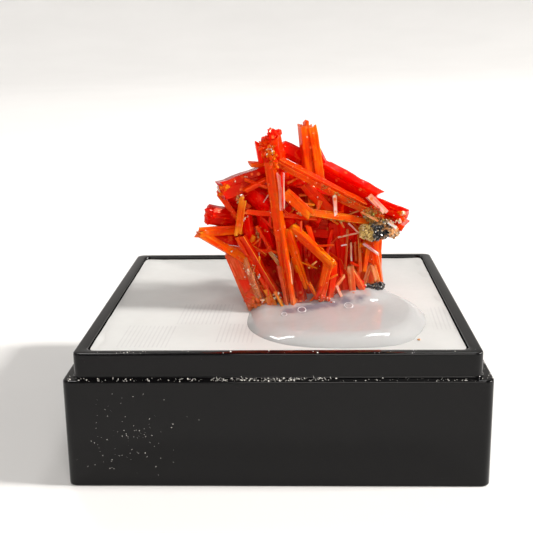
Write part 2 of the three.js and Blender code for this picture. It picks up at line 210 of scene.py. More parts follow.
class Finish:
    """A material with one Principled shader, and short ways to add nodes to it."""

    def __init__(self, name):
        self.material = bpy.data.materials.new(name)
        self.material.use_nodes = True
        self.tree = self.material.node_tree
        self.shader = self.tree.nodes["Principled BSDF"]

    def feed(self, socket, value):
        """Links a node's output to the socket, or sets the socket to a plain value."""
        if isinstance(value, bpy.types.NodeSocket):
            self.tree.links.new(value, socket)
        else:
            socket.default_value = value

    def add(self, kind, inputs, **settings):
        node = self.tree.nodes.new("ShaderNode" + kind)
        for key, value in settings.items():
            setattr(node, key, value)
        for key, value in inputs.items():
            self.feed(node.inputs[key], value)
        return node

    def set(self, **inputs):
        for key, value in inputs.items():
            self.feed(self.shader.inputs[key.replace("_", " ")], value)

    def where(self, scale=(1, 1, 1)):
        """Object coordinates in millimetres, stretched by a scale."""
        place = self.add("TexCoord", {}).outputs["Object"]
        return self.add("Mapping", {"Vector": place, "Scale": [s / MM for s in scale]}).outputs[0]

    def noise(self, where, scale=1.0, detail=3.0, roughness=0.55):
        inputs = {"Vector": where, "Scale": scale, "Detail": detail, "Roughness": roughness}
        return self.add("TexNoise", inputs).outputs["Fac"]

    def ramp(self, value, low, high):
        """Nothing at low, all at high, and a straight line between; it falls where low is the larger."""
        return self.add("MapRange", {"Value": value, "From Min": low, "From Max": high}).outputs[0]

    def between(self, value, low, high):
        """The other way round: a value from 0 to 1 becomes one from low to high."""
        return self.add("MapRange", {"Value": value, "To Min": low, "To Max": high}).outputs[0]

    def maths(self, operation, first, second, third=0.0):
        return self.add("Math", {0: first, 1: second, 2: third}, operation=operation).outputs[0]

    def times(self, first, second):
        return self.maths("MULTIPLY", first, second)

    def mix(self, share, first, second, how="MIX"):
        inputs = {0: share, 6: first, 7: second}
        return self.add("Mix", inputs, data_type="RGBA", blend_type=how).outputs[2]

    def tinted(self, colour, by):
        """A colour multiplied by another."""
        return self.mix(1, colour, by, "MULTIPLY")

    def bump(self, height, strength, deep):
        """Relief in the shading; deep is in millimetres."""
        node = self.add("Bump", {"Height": height, "Strength": strength, "Distance": deep * MM})
        self.set(Normal=node.outputs[0])


# %% [markdown]
# ## Floor
# The floor is only a stage for the object: one large pale sheet that runs far past the edges of the view
# and curves up all round, as paper in a studio does, so that no horizon shows behind the crystals.

# %% Pale floor
FLOOR_FLAT = 0.5  # m from the middle to where it starts to rise
FLOOR_REACH = 1.6  # m from the middle to its edge
FLOOR_RISE = 1.6  # m
FLOOR_SIDES, FLOOR_STEPS = 96, 24


def floor_finish():
    finish = Finish("pale_floor")
    cloud = finish.noise(finish.where((0.02, 0.02, 0.02)))
    finish.set(Base_Color=finish.mix(cloud, (0.74, 0.73, 0.72, 1), (0.8, 0.79, 0.78, 1)), Roughness=0.75)
    return finish.material


floor_mesh = bmesh.new()
bmesh.ops.create_circle(floor_mesh, cap_ends=True, segments=FLOOR_SIDES, radius=FLOOR_FLAT)
edge = [e for e in floor_mesh.edges if e.is_boundary]
for step in range(1, FLOOR_STEPS + 1):
    angle = step / FLOOR_STEPS * math.pi / 2
    rim = bmesh.ops.extrude_edge_only(floor_mesh, edges=edge)["geom"]
    edge = [e for e in rim if isinstance(e, bmesh.types.BMEdge) and e.is_boundary]
    reach = FLOOR_FLAT + (FLOOR_REACH - FLOOR_FLAT) * math.sin(angle)
    for corner in {v for e in edge for v in e.verts}:
        corner.co.xy *= reach / corner.co.xy.length
        corner.co.z = FLOOR_RISE * (1 - math.cos(angle))
floor = bpy.data.objects.new("floor", mesh_from(floor_mesh, "floor"))
floor.data.shade_smooth()
floor.data.materials.append(floor_finish())
bpy.context.scene.collection.objects.link(floor)
floor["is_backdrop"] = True
print("floor reaches", FLOOR_REACH, "m")

# %% [markdown]
# ## The box base
# The base is a moulded block of glossy black polystyrene: a square block, a narrow ledge round it for the
# lid, and a thin collar that stands up inside the ledge and holds the insert. A lathe can't make a square,
# but the same idea works: a profile is drawn once, from the middle of the underside out, up and in again,
# and each of its points becomes a ring, here a square with rounded corners. Rounding the profile's own
# corners gives every moulded edge its fine line of light.

# %% Rings of rounded squares
CORNER_RADIUS = 0.7  # mm, upright corners
EDGE_RADIUS = 0.16  # mm, moulded edges
ARC_STEPS = 6


def rounded_square(half, radius, height):
    """Points of one ring, anticlockwise."""
    straight = half - radius
    ring = []
    for corner, (x, y) in enumerate([(1, 1), (-1, 1), (-1, -1), (1, -1)]):
        for step in range(ARC_STEPS + 1):
            angle = (corner + step / ARC_STEPS) * math.pi / 2
            across, back = radius * math.cos(angle), radius * math.sin(angle)
            ring.append(Vector((x * straight + across, y * straight + back, height)))
    return ring


def with_soft_corners(profile, radius, steps=3):
    """A profile of (half side, height) points, with each inner corner replaced by a short curve."""
    points = [Vector(p) for p in profile]
    soft = [points[0]]
    for before, corner, after in zip(points, points[1:], points[2:]):
        start = corner + (before - corner).normalized() * radius
        end = corner + (after - corner).normalized() * radius
        for step in range(steps + 1):
            t = step / steps
            soft.append(start * (1 - t) ** 2 + corner * 2 * t * (1 - t) + end * t * t)
    return soft + [points[-1]]


def skin_of_rings(rings):
    """A closed skin over rings with the same number of points; the first and the last are filled."""
    built = bmesh.new()
    loops = [[built.verts.new(p) for p in ring] for ring in rings]
    for low, high in zip(loops, loops[1:]):
        for i, corner in enumerate(low):
            built.faces.new((low[i - 1], corner, high[i], high[i - 1]))
    built.faces.new(loops[0][::-1])
    built.faces.new(loops[-1])
    return built


# %% [markdown]
# The ledge, the rim and the recess can't be read from a piece's outer box, so they are driving dimensions
# here, as they are in the CAD; the outer side and the height come from the frame. The underside and the
# tray's floor are each closed by one face inside their last ring.

# %% Shape of the base
BLOCK_HEIGHT = 8.5  # mm, underside to ledge
LEDGE = 0.725  # mm wide
COLLAR_WALL = 0.95  # mm thick
TRAY_FLOOR = 1.6  # mm, plastic under the insert
BOX_HALF, _, RIM = box_in_mm("box_base")[1]
RECESS_HALF = BOX_HALF - LEDGE - COLLAR_WALL

base_profile = [
    # half side and height, in mm
    (BOX_HALF - 4, 0),
    (BOX_HALF, 0),
    (BOX_HALF, BLOCK_HEIGHT),
    (BOX_HALF - LEDGE, BLOCK_HEIGHT),
    (BOX_HALF - LEDGE, RIM),
    (RECESS_HALF, RIM),
    (RECESS_HALF, TRAY_FLOOR),
    (RECESS_HALF - 2, TRAY_FLOOR),
]
soft_profile = with_soft_corners(base_profile, EDGE_RADIUS)
base_rings = [rounded_square(half, CORNER_RADIUS, height) for half, height in soft_profile]
base_mesh = mesh_from(skin_of_rings(base_rings), "box_base")
print("base is", round(2 * BOX_HALF, 2), "mm square and", round(RIM, 2), "mm high")

# %% [markdown]
# Black polystyrene is all reflection: its own colour is almost nothing, and what the eye reads is gloss, a
# film of handling marks that makes the gloss uneven, and dust. The finest dust is part of the finish: a
# cell pattern gives one speck to each cell, noise says how large it is, and it is thicker on faces that
# look up.

# %% Finish of the black plastic
PLASTIC_BLACK, DUST_GREY = (0.0025, 0.0024, 0.0026, 1), (0.42, 0.41, 0.38, 1)


def box_finish():
    finish = Finish("black_polystyrene")
    where = finish.where()
    haze = finish.noise(where, 0.25, 4)
    wiping = finish.noise(finish.where((0.15, 0.15, 2.2)), 1, 4)
    speck = finish.add("TexVoronoi", {"Vector": where, "Scale": 3.2, "Randomness": 1.0})
    size = finish.between(finish.noise(where, 2.3, 1), -0.06, 0.1)
    dust = finish.maths("LESS_THAN", speck.outputs["Distance"], size)
    facing = finish.add("SeparateXYZ", {0: finish.add("NewGeometry", {}).outputs["Normal"]}).outputs["Z"]
    settled = finish.between(finish.ramp(facing, 0.3, 0.8), 0.25, 1)
    dust = finish.times(dust, settled)
    finish.set(
        Base_Color=finish.mix(dust, PLASTIC_BLACK, DUST_GREY),
        Roughness=finish.maths("ADD", finish.between(haze, 0.04, 0.16), finish.times(dust, 0.5)),
        IOR=1.4,
        Specular_IOR_Level=0.3,
    )
    finish.bump(wiping, 0.12, 0.02)
    return finish.material


dress("black_box_base", base_mesh, [box_finish()], "box_base", smooth_angle=40)

# %% [markdown]
# ## The insert
# The insert is a block of foam under a white plastic skin. The skin lies in shallow waves, turns up a
# little along the left and right walls, and has one long crease. A grid of points with a height for each
# gives all of that; a skirt and an underside then close the grid, so the piece is one solid.

# %% Shape of the insert
SKIN_WAVES = 0.035  # mm
SKIN_TURN_UP = 0.14  # mm, at the left and right walls
TURN_UP_REACH = 1.9  # mm
CREASE = [(-8.6, -13.6), (-2.9, -11.9)]  # mm, its two ends
CREASE_DEPTH, CREASE_HALF = 0.03, 0.25  # mm
GRID_STEPS = 110
INSERT_HALF, _, skin_edge = box_in_mm("foam_insert")[1]
INSERT_TOP = skin_edge - SKIN_TURN_UP


def skin_height(x, y):
    """Height of the skin at a place: waves, the turned-up edges and the crease."""
    wave = noise.noise(Vector((x * 0.22, y * 0.3, 3))) + 0.4 * noise.noise(Vector((x * 0.9, y * 0.7, 8)))
    to_wall = INSERT_HALF - abs(x)
    turn_up = max(0, 1 - to_wall / TURN_UP_REACH) ** 2 * (0.75 + 0.25 * noise.noise(Vector((x, y * 0.6, 5))))
    start, end = (Vector(p) for p in CREASE)
    along = (end - start).normalized()
    to_start = Vector((x, y)) - start
    beside = abs(to_start.cross(along))
    within = 0 < to_start.dot(along) < (end - start).length
    crease = CREASE_DEPTH * max(0, 1 - beside / CREASE_HALF) if within else 0
    return INSERT_TOP - SKIN_WAVES * 0.6 + SKIN_WAVES * wave + SKIN_TURN_UP * turn_up - crease


def insert_shape():
    built = bmesh.new()
    bmesh.ops.create_grid(built, x_segments=GRID_STEPS, y_segments=GRID_STEPS, size=INSERT_HALF)
    top_edges = [e for e in built.edges if e.is_boundary]
    skirt = bmesh.ops.extrude_edge_only(built, edges=top_edges)["geom"]
    for corner in (v for v in skirt if isinstance(v, bmesh.types.BMVert)):
        corner.co.z = TRAY_FLOOR
    underside = [e for e in skirt if isinstance(e, bmesh.types.BMEdge) and e.is_boundary]
    bmesh.ops.edgeloop_fill(built, edges=underside)
    inner = INSERT_HALF - CORNER_RADIUS
    for corner in built.verts:
        x, y = corner.co.x, corner.co.y
        past = Vector((max(0, abs(x) - inner), max(0, abs(y) - inner)))
        if past.length > CORNER_RADIUS:
            past *= CORNER_RADIUS / past.length
        corner.co.x = math.copysign(min(abs(x), inner) + past.x, x)
        corner.co.y = math.copysign(min(abs(y), inner) + past.y, y)
        if corner.co.z != TRAY_FLOOR:
            corner.co.z = skin_height(x, y)
    return mesh_from(built, "insert")


# %% [markdown]
# The skin carries faint blocks of ruled grey lines. A stripe is a wave over the place across, and each
# block has a mask: the place is moved and stretched so that the block becomes a square from -1 to 1, and
# whatever is inside keeps its stripes. All of it is nodes, so the print stays sharp at any distance.

# %% Finish of the white skin
RULE_PITCH = 0.34  # mm between ruled lines
RULE_TURN = math.radians(2)
SKIN_GREY, SKIN_WHITE = (0.51, 0.51, 0.495, 1), (0.58, 0.58, 0.565, 1)
PRINT_GREY = (0.3, 0.28, 0.3, 1)
RULED_BLOCKS = [
    # middle across and back, and half sizes, in mm
    ((-9.9, -10.9), (2.1, 2.6)),
    ((-6.1, -5.0), (2.2, 2.8)),
    ((-2.9, -9.9), (1.5, 2.3)),
    ((13.9, -5.7), (1.2, 3.0)),
]


def block_mask(finish, where, middle, half):
    """One inside a block and nothing outside it."""
    (x, y), (wide, deep) = middle, half
    stretch = {"Vector": where, "Location": (-x / wide, -y / deep, 0), "Scale": (1 / wide, 1 / deep, 0)}
    spot = finish.add("Mapping", stretch).outputs[0]
    spot = finish.add("VectorMath", {0: spot}, operation="ABSOLUTE").outputs[0]
    spot = finish.add("SeparateXYZ", {0: spot})
    farther = finish.maths("MAXIMUM", spot.outputs["X"], spot.outputs["Y"])
    return finish.ramp(farther, 1.03, 0.97)


def ruled_lines(finish, where):
    """How strong the print is at a place: worn lines inside the blocks."""
    inputs = {"Vector": where, "Angle": RULE_TURN}
    turned = finish.add("VectorRotate", inputs, rotation_type="Z_AXIS").outputs[0]
    across = finish.add("SeparateXYZ", {0: turned}).outputs["X"]
    wave = finish.maths("SINE", finish.times(across, 2 * math.pi / RULE_PITCH), 0)
    rule = finish.ramp(wave, 0.2, 0.8)
    blocks = 0
    for middle, half in RULED_BLOCKS:
        blocks = finish.maths("MAXIMUM", blocks, block_mask(finish, turned, middle, half))
    worn = finish.between(finish.noise(where, 0.5, 2), 0.05, 0.42)
    return finish.times(finish.times(rule, blocks), worn)


def insert_finish():
    finish = Finish("white_skin")
    where = finish.where()
    skin = finish.mix(finish.noise(where, 0.3, 4), SKIN_GREY, SKIN_WHITE)
    finish.set(
        Base_Color=finish.mix(ruled_lines(finish, where), skin, PRINT_GREY),
        Roughness=finish.between(finish.noise(where, 1.4), 0.28, 0.5),
        Subsurface_Weight=0.15,
        Subsurface_Radius=(1, 1, 1),
        Subsurface_Scale=0.4 * MM,
    )
    finish.bump(finish.noise(where, 6, 4), 0.25, 0.01)
    return finish.material


dress("white_insert", insert_shape(), [insert_finish()], "foam_insert", smooth_angle=50)

# %% [markdown]
# ## The crocoite
# Crocoite grows as long, brittle prisms that cross each other like jackstraws. To copy a cluster like this,
# it is drawn as it is seen: each crystal has two ends on an upright drawing board, y = 0, given as across
# and up from the ledge, and each end is then slid along its line of sight to its own depth. The crystals
# keep their place in the view, and stand in real depth from any other side. Each row also names how the
# crystal looks, because one prism is orange with light inside it, the next one is deep red, and those at
# the foot are pale and stained. The rows called glow walls are slabs of red inside the heap, some in the
# deep look's darker red, which is a painted shade: they close the gaps between the prisms, as the crowd of
# smaller crystals does in the real one.

# %% The crystals that carry the cluster
# name: (across, up, depth) of the start, the same of the end, (width, thickness), look, and a taper where the
# second end runs out thin; depth is back from y = 0
CRYSTALS = {
    "sugary head": ((-0.5, 16.05, -2.4), (0.35, 12.4, -1.4), (1.05, 1.2), "ember"),
    "head step left": ((-1.25, 15.95, -2.0), (-0.6, 12.6, -1.2), (0.85, 0.9), "ember"),
    "head step low": ((-1.65, 15.4, -1.4), (-1.2, 12.2, -0.8), (0.75, 0.9), "red"),
    "red roof slab": ((-0.1, 15.25, -0.4), (4.4, 13.1, 1.2), (1.35, 1.0), "glassy"),
    "tall tower left": ((2.1, 17.25, 0.2), (2.85, 9.2, -1.4), (0.78, 0.8), "orange"),
    "tall tower right": ((2.8, 16.95, 0.3), (3.95, 9.4, -1.2), (0.75, 0.8), "orange"),
    "tower middle": ((2.5, 16.6, 0.45), (3.4, 9.3, -1.2), (0.75, 0.7), "ember"),
    "tower buttress": ((2.73, 15.9, 0.9), (4.6, 12.2, 0), (0.6, 0.7), "red"),
    "right slab": ((3.55, 13.3, 0.4), (8.6, 10.42, -1.6), (1.6, 1.1), "red"),
    "front rafter": ((-0.1, 13.95, -2.3), (7.3, 10.0, -2.0), (0.72, 0.7), "rusty"),
    "low rafter": ((4.9, 10.85, -1.5), (9.0, 8.85, -2.4), (0.55, 0.6), "rusty"),
    "inner rafter": ((0.1, 12.6, -1.0), (4.6, 11.4, -0.8), (1.2, 1.2), "red"),
    "pale blade": ((7.75, 10.85, -1.9), (9.25, 9.3, -2.5), (0.55, 0.3), "pale"),
    "right tip": ((7.6, 10.35, -0.6), (11.0, 9.0, -2.4), (1.15, 1.2), "red"),
    "right tip under": ((7.8, 9.3, -0.4), (10.9, 8.2, -2.0), (1.2, 1.3), "ember"),
    "left beam": ((-5.2, 11.35, -3.0), (-0.6, 13.0, -1.0), (1.6, 1.4), "garnet"),
    "left beam step": ((-2.5, 13.7, -1.6), (-0.9, 13.6, -1.2), (0.4, 0.6), "orange"),
    "left beam foot": ((-3.05, 11.35, -2.9), (-0.6, 12.6, -2.0), (0.4, 0.5), "ember"),
    "front bar": ((-0.78, 13.9, -2.6), (0.98, 0.5, -4.3), (0.82, 0.75), "orange"),
    "striped blade": ((0.12, 12.95, -3.3), (0.28, 9.6, -3.85), (0.64, 0.36), "striped", 0.5),
    "broad brace": ((0.5, 11.2, -2.7), (2.7, 9.15, -2.7), (0.95, 0.8), "orange"),
    "long cross bar left": ((-3.0, 9.5, -3.0), (3.2, 8.85, -2.2), (0.45, 0.5), "ember"),
    "long cross bar right": ((2.6, 9.4, -2.6), (8.0, 8.5, -2.0), (0.6, 0.6), "rusty"),
    "white needle": ((4.8, 10.95, -2.3), (4.9, 8.9, -2.5), (0.32, 0.3), "pale"),
    "inner brace": ((2.3, 11.9, -1.2), (4.9, 8.9, -1.8), (1.0, 0.9), "ember"),
    "deep red wall": ((0.5, 10.4, -1.8), (1.8, 0.4, -3.2), (1.3, 1.1), "deep"),
    "orange splinter": ((0.6, 7.9, -3.2), (2.4, 2.5, -3.9), (0.88, 0.5), "orange", 0.4),
    "long diagonal": ((1.0, 8.2, -3.0), (4.75, 4.55, -3.8), (0.68, 0.7), "orange"),
    "short prop": ((2.5, 8.2, -2.8), (3.15, 5.9, -3.4), (0.42, 0.4), "ember"),
    "right leg": ((4.3, 5.1, -3.5), (3.4, 1.2, -3.6), (0.75, 0.7), "orange"),
    "right leg twin": ((4.75, 4.9, -3.3), (4.45, 1.6, -3.2), (0.5, 0.6), "ember"),
    "slanting twig": ((5.65, 3.7, -2.6), (4.4, 1.9, -3.3), (0.3, 0.3), "peach"),
    "short twig": ((5.0, 2.75, -3.1), (5.65, 1.3, -3.6), (0.26, 0.3), "pale"),
    "pink leg": ((6.2, 4.6, -2.3), (6.5, 1.4, -3.1), (0.6, 0.6), "peach"),
    "pink leg brace": ((6.3, 4.3, -2.3), (7.8, 1.6, -2.7), (0.5, 0.5), "peach"),
    "right foot blade": ((8.35, 5.6, -1.3), (7.1, 1.8, -2.1), (0.36, 0.5), "cream"),
    "right foot outer": ((8.45, 5.8, -1.0), (8.95, 2.9, -1.2), (0.45, 0.5), "orange"),
    "tan foot": ((8.2, 4.95, -1.3), (8.8, 2.6, -1.4), (0.4, 0.4), "cream"),
    "back red column": ((4.9, 9.0, -0.8), (5.35, 1.2, -2.4), (1.5, 1.2), "deep"),
    "right column": ((7.35, 8.6, -0.9), (7.0, 1.6, -1.7), (1.0, 0.9), "orange"),
    "right outer column": ((8.35, 7.6, -0.5), (8.4, 2.6, -0.8), (0.95, 0.9), "orange"),
    "red panel": ((2.2, 8.0, -0.6), (7.9, 7.5, -1.0), (1.5, 0.9), "deep"),
    "orange shard": ((-3.12, 10.8, -3.1), (-3.7, 7.4, -3.4), (0.62, 0.5), "golden"),
    "inner red left": ((-2.9, 11.9, -1.6), (-0.7, 9.4, -1.9), (1.2, 1.2), "deep"),
    "left curtain": ((-3.0, 9.7, -2.5), (-2.3, 5.4, -2.9), (0.8, 0.8), "red"),
    "dark curtain": ((-1.75, 9.8, -2.0), (-0.7, 6.0, -2.4), (0.85, 0.9), "deep"),
    "blunt prism": ((-6.2, 9.35, -2.8), (-2.4, 8.8, -0.8), (1.6, 1.5), "glassy"),
    "spike upper": ((-7.05, 7.72, -3.2), (-2.4, 8.0, -1.8), (0.85, 1.0), "orange"),
    "spike lower": ((-7.05, 7.65, -3.3), (-2.8, 5.0, -3.1), (0.7, 0.7), "rusty"),
    "spike web": ((-6.1, 7.55, -2.9), (-2.4, 6.8, -2.0), (1.3, 0.7), "garnet"),
    "brown edge": ((-5.3, 11.2, -2.6), (-3.5, 8.6, -2.2), (0.45, 0.5), "rusty"),
    "outer leg": ((-4.3, 5.9, -2.8), (-2.1, 0.2, -3.7), (1.15, 0.9), "pink"),
    "speckled leg": ((-3.1, 5.3, -3.4), (-1.4, 0.5, -4.1), (0.55, 0.6), "tan"),
    "long left leg": ((-3.5, 7.4, -3.2), (0.3, 0.5, -4.1), (0.9, 0.6), "ember"),
    "inner left leg": ((-2.6, 4.2, -3.2), (-0.6, 0.4, -3.8), (0.5, 0.5), "rusty"),
    "thin lintel": ((-2.9, 6.15, -3.2), (-0.2, 5.85, -3.2), (0.3, 0.3), "ember"),
    "grey hook": ((-0.95, 5.95, -3.2), (0.15, 4.4, -3.7), (0.32, 0.3), "tan"),
    "left foot": ((-3.05, 1.75, -3.4), (-1.2, 0.75, -3.9), (0.9, 1.1), "ember"),
    "core": ((1.2, 12.8, 0.8), (2.2, 0.5, -1.0), (1.7, 1.5), "deep"),
    "core left": ((-2.4, 11.8, -0.4), (-0.5, 1.2, 0.2), (1.2, 1.1), "deep"),
    "core right": ((6.4, 11.2, 0), (5.8, 1.2, -0.4), (1.4, 1.2), "deep"),
    "high tie": ((1.5, 12.3, -1.9), (2.6, 11.5, 2.6), (0.9, 0.9), "red"),
    "middle tie": ((3.3, 9.0, -2.3), (2.6, 7.3, 3.2), (0.9, 0.8), "red"),
    "left tie": ((-2.6, 7.5, -2.9), (-1.5, 7.0, 2.6), (0.9, 0.8), "red"),
    "right tie": ((6.9, 6.9, -1.9), (6.2, 6.4, 3.0), (0.9, 0.8), "red"),
    "low tie": ((1.0, 2.2, -3.3), (2.4, 2.6, 2.4), (0.8, 0.8), "deep"),
    "left low tie": ((-2.3, 1.4, -3.7), (-0.8, 2.2, 1.6), (0.8, 0.7), "deep"),
    "right low tie": ((7.2, 3.0, -2.2), (6.0, 2.6, 2.4), (0.8, 0.7), "deep"),
    "back mast": ((-1.6, 13.2, 2.2), (1.4, 0.5, 1.6), (1.1, 1.0), "red"),
    "back mast right": ((5.8, 12.4, 2.2), (3.4, 0.8, 1.8), (1.0, 0.9), "ember"),
    "back cross beam": ((-5.4, 9.2, 1.6), (8.6, 7.0, 1.4), (1.0, 0.9), "ember"),
    "back rafter": ((-2.8, 12.2, 1.0), (7.0, 9.4, 2.6), (0.9, 0.8), "red"),
    "back leg left": ((-4.6, 8.6, 1.4), (-1.2, 0.4, 0.4), (1.0, 0.9), "orange"),
    "back leg right": ((8.2, 8.8, 1.2), (6.2, 1.2, 1.2), (1.0, 0.9), "ember"),
    "back diagonal": ((-2.6, 4.4, 3.4), (5.6, 11.6, 1.8), (0.85, 0.8), "orange"),
    "back diagonal low": ((0.2, 2.9, 3.0), (8.4, 6.4, 1.6), (0.8, 0.7), "rusty"),
    "back splinter": ((1.8, 14.2, 2.4), (4.6, 1.4, 3.2), (0.7, 0.6), "orange"),
    "back spear": ((2.6, 6.3, -0.4), (4.6, 11.6, 5.4), (0.8, 0.75), "red"),
    "back spear left": ((0.6, 5.3, -0.4), (-3.4, 9.2, 5.0), (0.8, 0.75), "orange"),
    "back spear low": ((4.2, 4.6, -0.4), (7.4, 4.4, 5.0), (0.7, 0.7), "ember"),
    "back spear high": ((1.4, 8.6, -0.4), (-0.6, 14.6, 4.4), (0.75, 0.7), "ember"),
    "back spear flat": ((2.2, 8.0, -0.4), (1.2, 7.2, 5.8), (0.8, 0.8), "orange"),
    "back prop": ((0.4, 9.0, 3.6), (2.6, 0.8, 2.6), (0.7, 0.65), "ember"),
    "back roof": ((-1.2, 14.4, 0.8), (4.8, 11.6, 3.2), (0.8, 0.8), "orange"),
    "back hip right": ((7.8, 10.2, 0.2), (8.4, 5.2, 3.4), (0.7, 0.7), "orange"),
    "back hip left": ((-2.6, 11.4, 0.2), (-4.0, 6.6, 2.8), (0.8, 0.7), "red"),
    "back foot right": ((3.6, 0.8, 3.8), (4.8, 5.8, 2.0), (0.8, 0.7), "pale"),
    "back foot left": ((-0.8, 0.6, 3.0), (0.6, 5.8, 2.2), (0.7, 0.7), "ember"),
    "back tip right": ((5.0, 9.0, 1.2), (8.6, 9.9, 3.4), (0.7, 0.65), "orange"),
    "back tip left": ((-1.6, 8.6, 0.6), (-4.2, 11.0, 2.8), (0.8, 0.7), "ember"),
    "glow wall left": ((-1.9, 8.4, -1.2), (0.9, 7.0, -0.2), (2.4, 0.8), "red"),
    "glow wall low": ((-0.6, 5.2, -0.6), (1.4, 2.6, -1.2), (2.2, 0.8), "deep"),
    "glow wall middle": ((1.9, 10.2, -0.2), (4.6, 9.4, -0.6), (2.6, 0.8), "red"),
    "glow wall right": ((4.4, 8.4, 0.6), (8.0, 8.6, 0.4), (1.8, 0.8), "red"),
    "glow wall foot": ((2.2, 6.2, 0.2), (3.4, 0.8, -0.6), (2.4, 0.8), "deep"),
    "glow wall under": ((4.2, 6.4, 0.2), (7.6, 5.2, 0.4), (2.2, 0.8), "deep"),
    "glow wall left foot": ((-1.8, 4.6, 0.4), (-0.2, 1.0, -0.6), (1.8, 0.8), "deep"),
    "glow wall right foot": ((6.4, 4.6, 0.4), (7.8, 1.4, -0.2), (1.9, 0.8), "deep"),
    "glow wall gap": ((3.0, 7.8, 0.9), (4.8, 5.4, 0.9), (1.9, 0.8), "red"),
    "glow wall beam": ((-4.5, 10.8, -1.6), (-2.6, 9.8, -1.2), (1.3, 0.9), "deep"),
}
print(len(CRYSTALS), "crystals are drawn")

# %% [markdown]
# Between and on the large prisms stand hair-thin ones. They are too fine for the CAD solid, so they are
# only here, with a few small blocks, orange laths laid on edges as a painted highlight of a lit edge, and
# fillings that round off a larger neighbour. Each starts and ends on a larger crystal, and is given in the
# same way.

# %% Needles, edges and small blocks
NEEDLES = {
    "needle A": ((6.0, 8.4, -2.2), (6.9, 7.5, -2.7), (0.15, 0.12), "pale"),
    "needle B": ((5.1, 7.1, -2.4), (6.9, 7.5, -2.7), (0.15, 0.12), "pale"),
    "needle C": ((7.35, 6.65, -2.9), (8.75, 5.6, -2.4), (0.34, 0.16), "striped"),
    "needle D": ((5.4, 6.4, -2.3), (5.9, 6.5, -2.3), (0.12, 0.12), "pale"),
    "needle E": ((6.3, 6.9, -2.0), (6.35, 5.2, -2.4), (0.15, 0.15), "pale"),
    "needle F": ((6.6, 6.7, -2.0), (6.7, 5.0, -2.4), (0.2, 0.15), "pink"),
    "needle G": ((6.2, 4.9, -2.6), (7.0, 4.5, -2.4), (0.25, 0.2), "ember"),
    "needle H": ((-1.4, 10.3, -2.8), (-0.95, 11.0, -2.6), (0.1, 0.1), "pale"),
    "needle I": ((2.5, 2.9, -4.0), (3.0, 1.9, -4.0), (0.12, 0.12), "ember"),
    "needle J": ((5.95, 7.9, -1.9), (5.75, 4.3, -2.6), (0.22, 0.2), "pink"),
    "needle K": ((6.95, 7.4, -1.9), (7.1, 4.0, -2.5), (0.24, 0.2), "pink"),
    "needle L": ((4.9, 7.3, -1.9), (5.5, 3.4, -2.7), (0.3, 0.2), "red"),
    "needle M": ((7.0, 6.4, -2.3), (8.5, 6.9, -1.7), (0.4, 0.3), "orange"),
    "needle N": ((7.75, 6.3, -2.2), (7.45, 4.0, -2.3), (0.35, 0.3), "orange"),
    "needle O": ((-2.0, 8.2, -2.9), (-0.75, 5.9, -3.2), (0.3, 0.3), "ember"),
    "needle P": ((-1.6, 9.1, -2.6), (-0.6, 8.0, -2.9), (0.25, 0.25), "red"),
    "needle Q": ((-3.0, 12.4, -2.6), (-1.0, 11.6, -2.6), (0.3, 0.3), "ember"),
    "needle R": ((3.6, 10.4, -2.0), (3.1, 9.2, -2.2), (0.35, 0.3), "orange"),
    "needle S": ((0.7, 12.0, -2.4), (1.9, 12.6, -1.6), (0.22, 0.2), "orange"),
    "needle T": ((-2.3, 7.3, -3.1), (-2.9, 5.9, -3.1), (0.4, 0.3), "orange"),
    "needle U": ((2.2, 5.0, -3.2), (2.9, 4.3, -3.6), (0.2, 0.15), "ember"),
    "needle V": ((1.2, 6.2, -3.2), (0.9, 1.4, -3.9), (0.3, 0.25), "pink"),
    "needle W": ((-3.9, 11.0, -2.7), (-2.6, 9.9, -2.6), (0.4, 0.3), "ember"),
    "needle X": ((4.6, 7.9, -2.0), (4.1, 5.6, -2.8), (0.3, 0.3), "red"),
    "needle Y": ((3.1, 1.5, -3.9), (3.7, 2.7, -3.9), (0.3, 0.25), "ember"),
    "needle Z": ((-2.6, 6.6, -3.2), (-1.2, 5.6, -3.2), (0.3, 0.25), "rusty"),
    "pink edge of the bar": ((-0.08, 4.6, -3.95), (0.66, 0.6, -4.6), (0.34, 0.3), "pink"),
    "pale thread of the bar": ((0.6, 5.1, -4.0), (0.9, 2.3, -4.4), (0.15, 0.14), "pale"),
    "second pale thread": ((0.82, 4.9, -3.9), (1.05, 2.9, -4.2), (0.12, 0.12), "pale"),
    "golden foot": ((-1.3, 2.4, -4.1), (-0.4, 0.5, -4.4), (0.4, 0.3), "golden"),
    "golden foot tip": ((-0.5, 2.2, -4.4), (0.45, 0.3, -4.85), (0.24, 0.2), "golden"),
    # painted highlight: an orange lath along the slab's top edge, for the edge where it catches the light
    "lit edge of the slab": ((4.0, 13.66, 0.0), (8.6, 10.98, -1.6), (0.2, 0.3), "orange"),
    "right mass": ((7.5, 7.0, -1.9), (8.2, 4.6, -1.7), (1.1, 0.5), "orange"),
    "right foot filling": ((8.0, 4.9, -1.5), (7.9, 2.4, -1.7), (0.8, 0.4), "peach"),
    "backing of the heap": ((3.5, 8.9, 0.6), (4.8, 7.9, 0.6), (1.3, 0.6), "deep"),
    "peach blade": ((2.5, 4.3, -3.4), (3.25, 4.95, -3.5), (0.18, 0.16), "peach"),
    "red window of the outer leg": ((-3.1, 3.4, -3.5), (-2.72, 2.42, -3.7), (1.05, 0.5), "red", 1),
    "golden block of the foot": ((-0.95, 1.7, -4.2), (-0.6, 0.5, -4.45), (0.8, 0.4), "golden"),
    "cream blade of the right foot": ((8.1, 4.6, -1.9), (8.5, 3.2, -1.9), (0.3, 0.2), "cream"),
    "lath over the crust": ((7.1, 9.4, -2.9), (8.6, 8.58, -3.15), (0.2, 0.2), "tan"),
    # a white crystal painted with the near-white glint look, so it is partly a painted highlight
    "white crystal on the knob": ((9.45, 8.5, -3.2), (10.2, 7.95, -3.0), (0.24, 0.22), "glint"),
}
print(len(NEEDLES), "fine crystals are drawn")

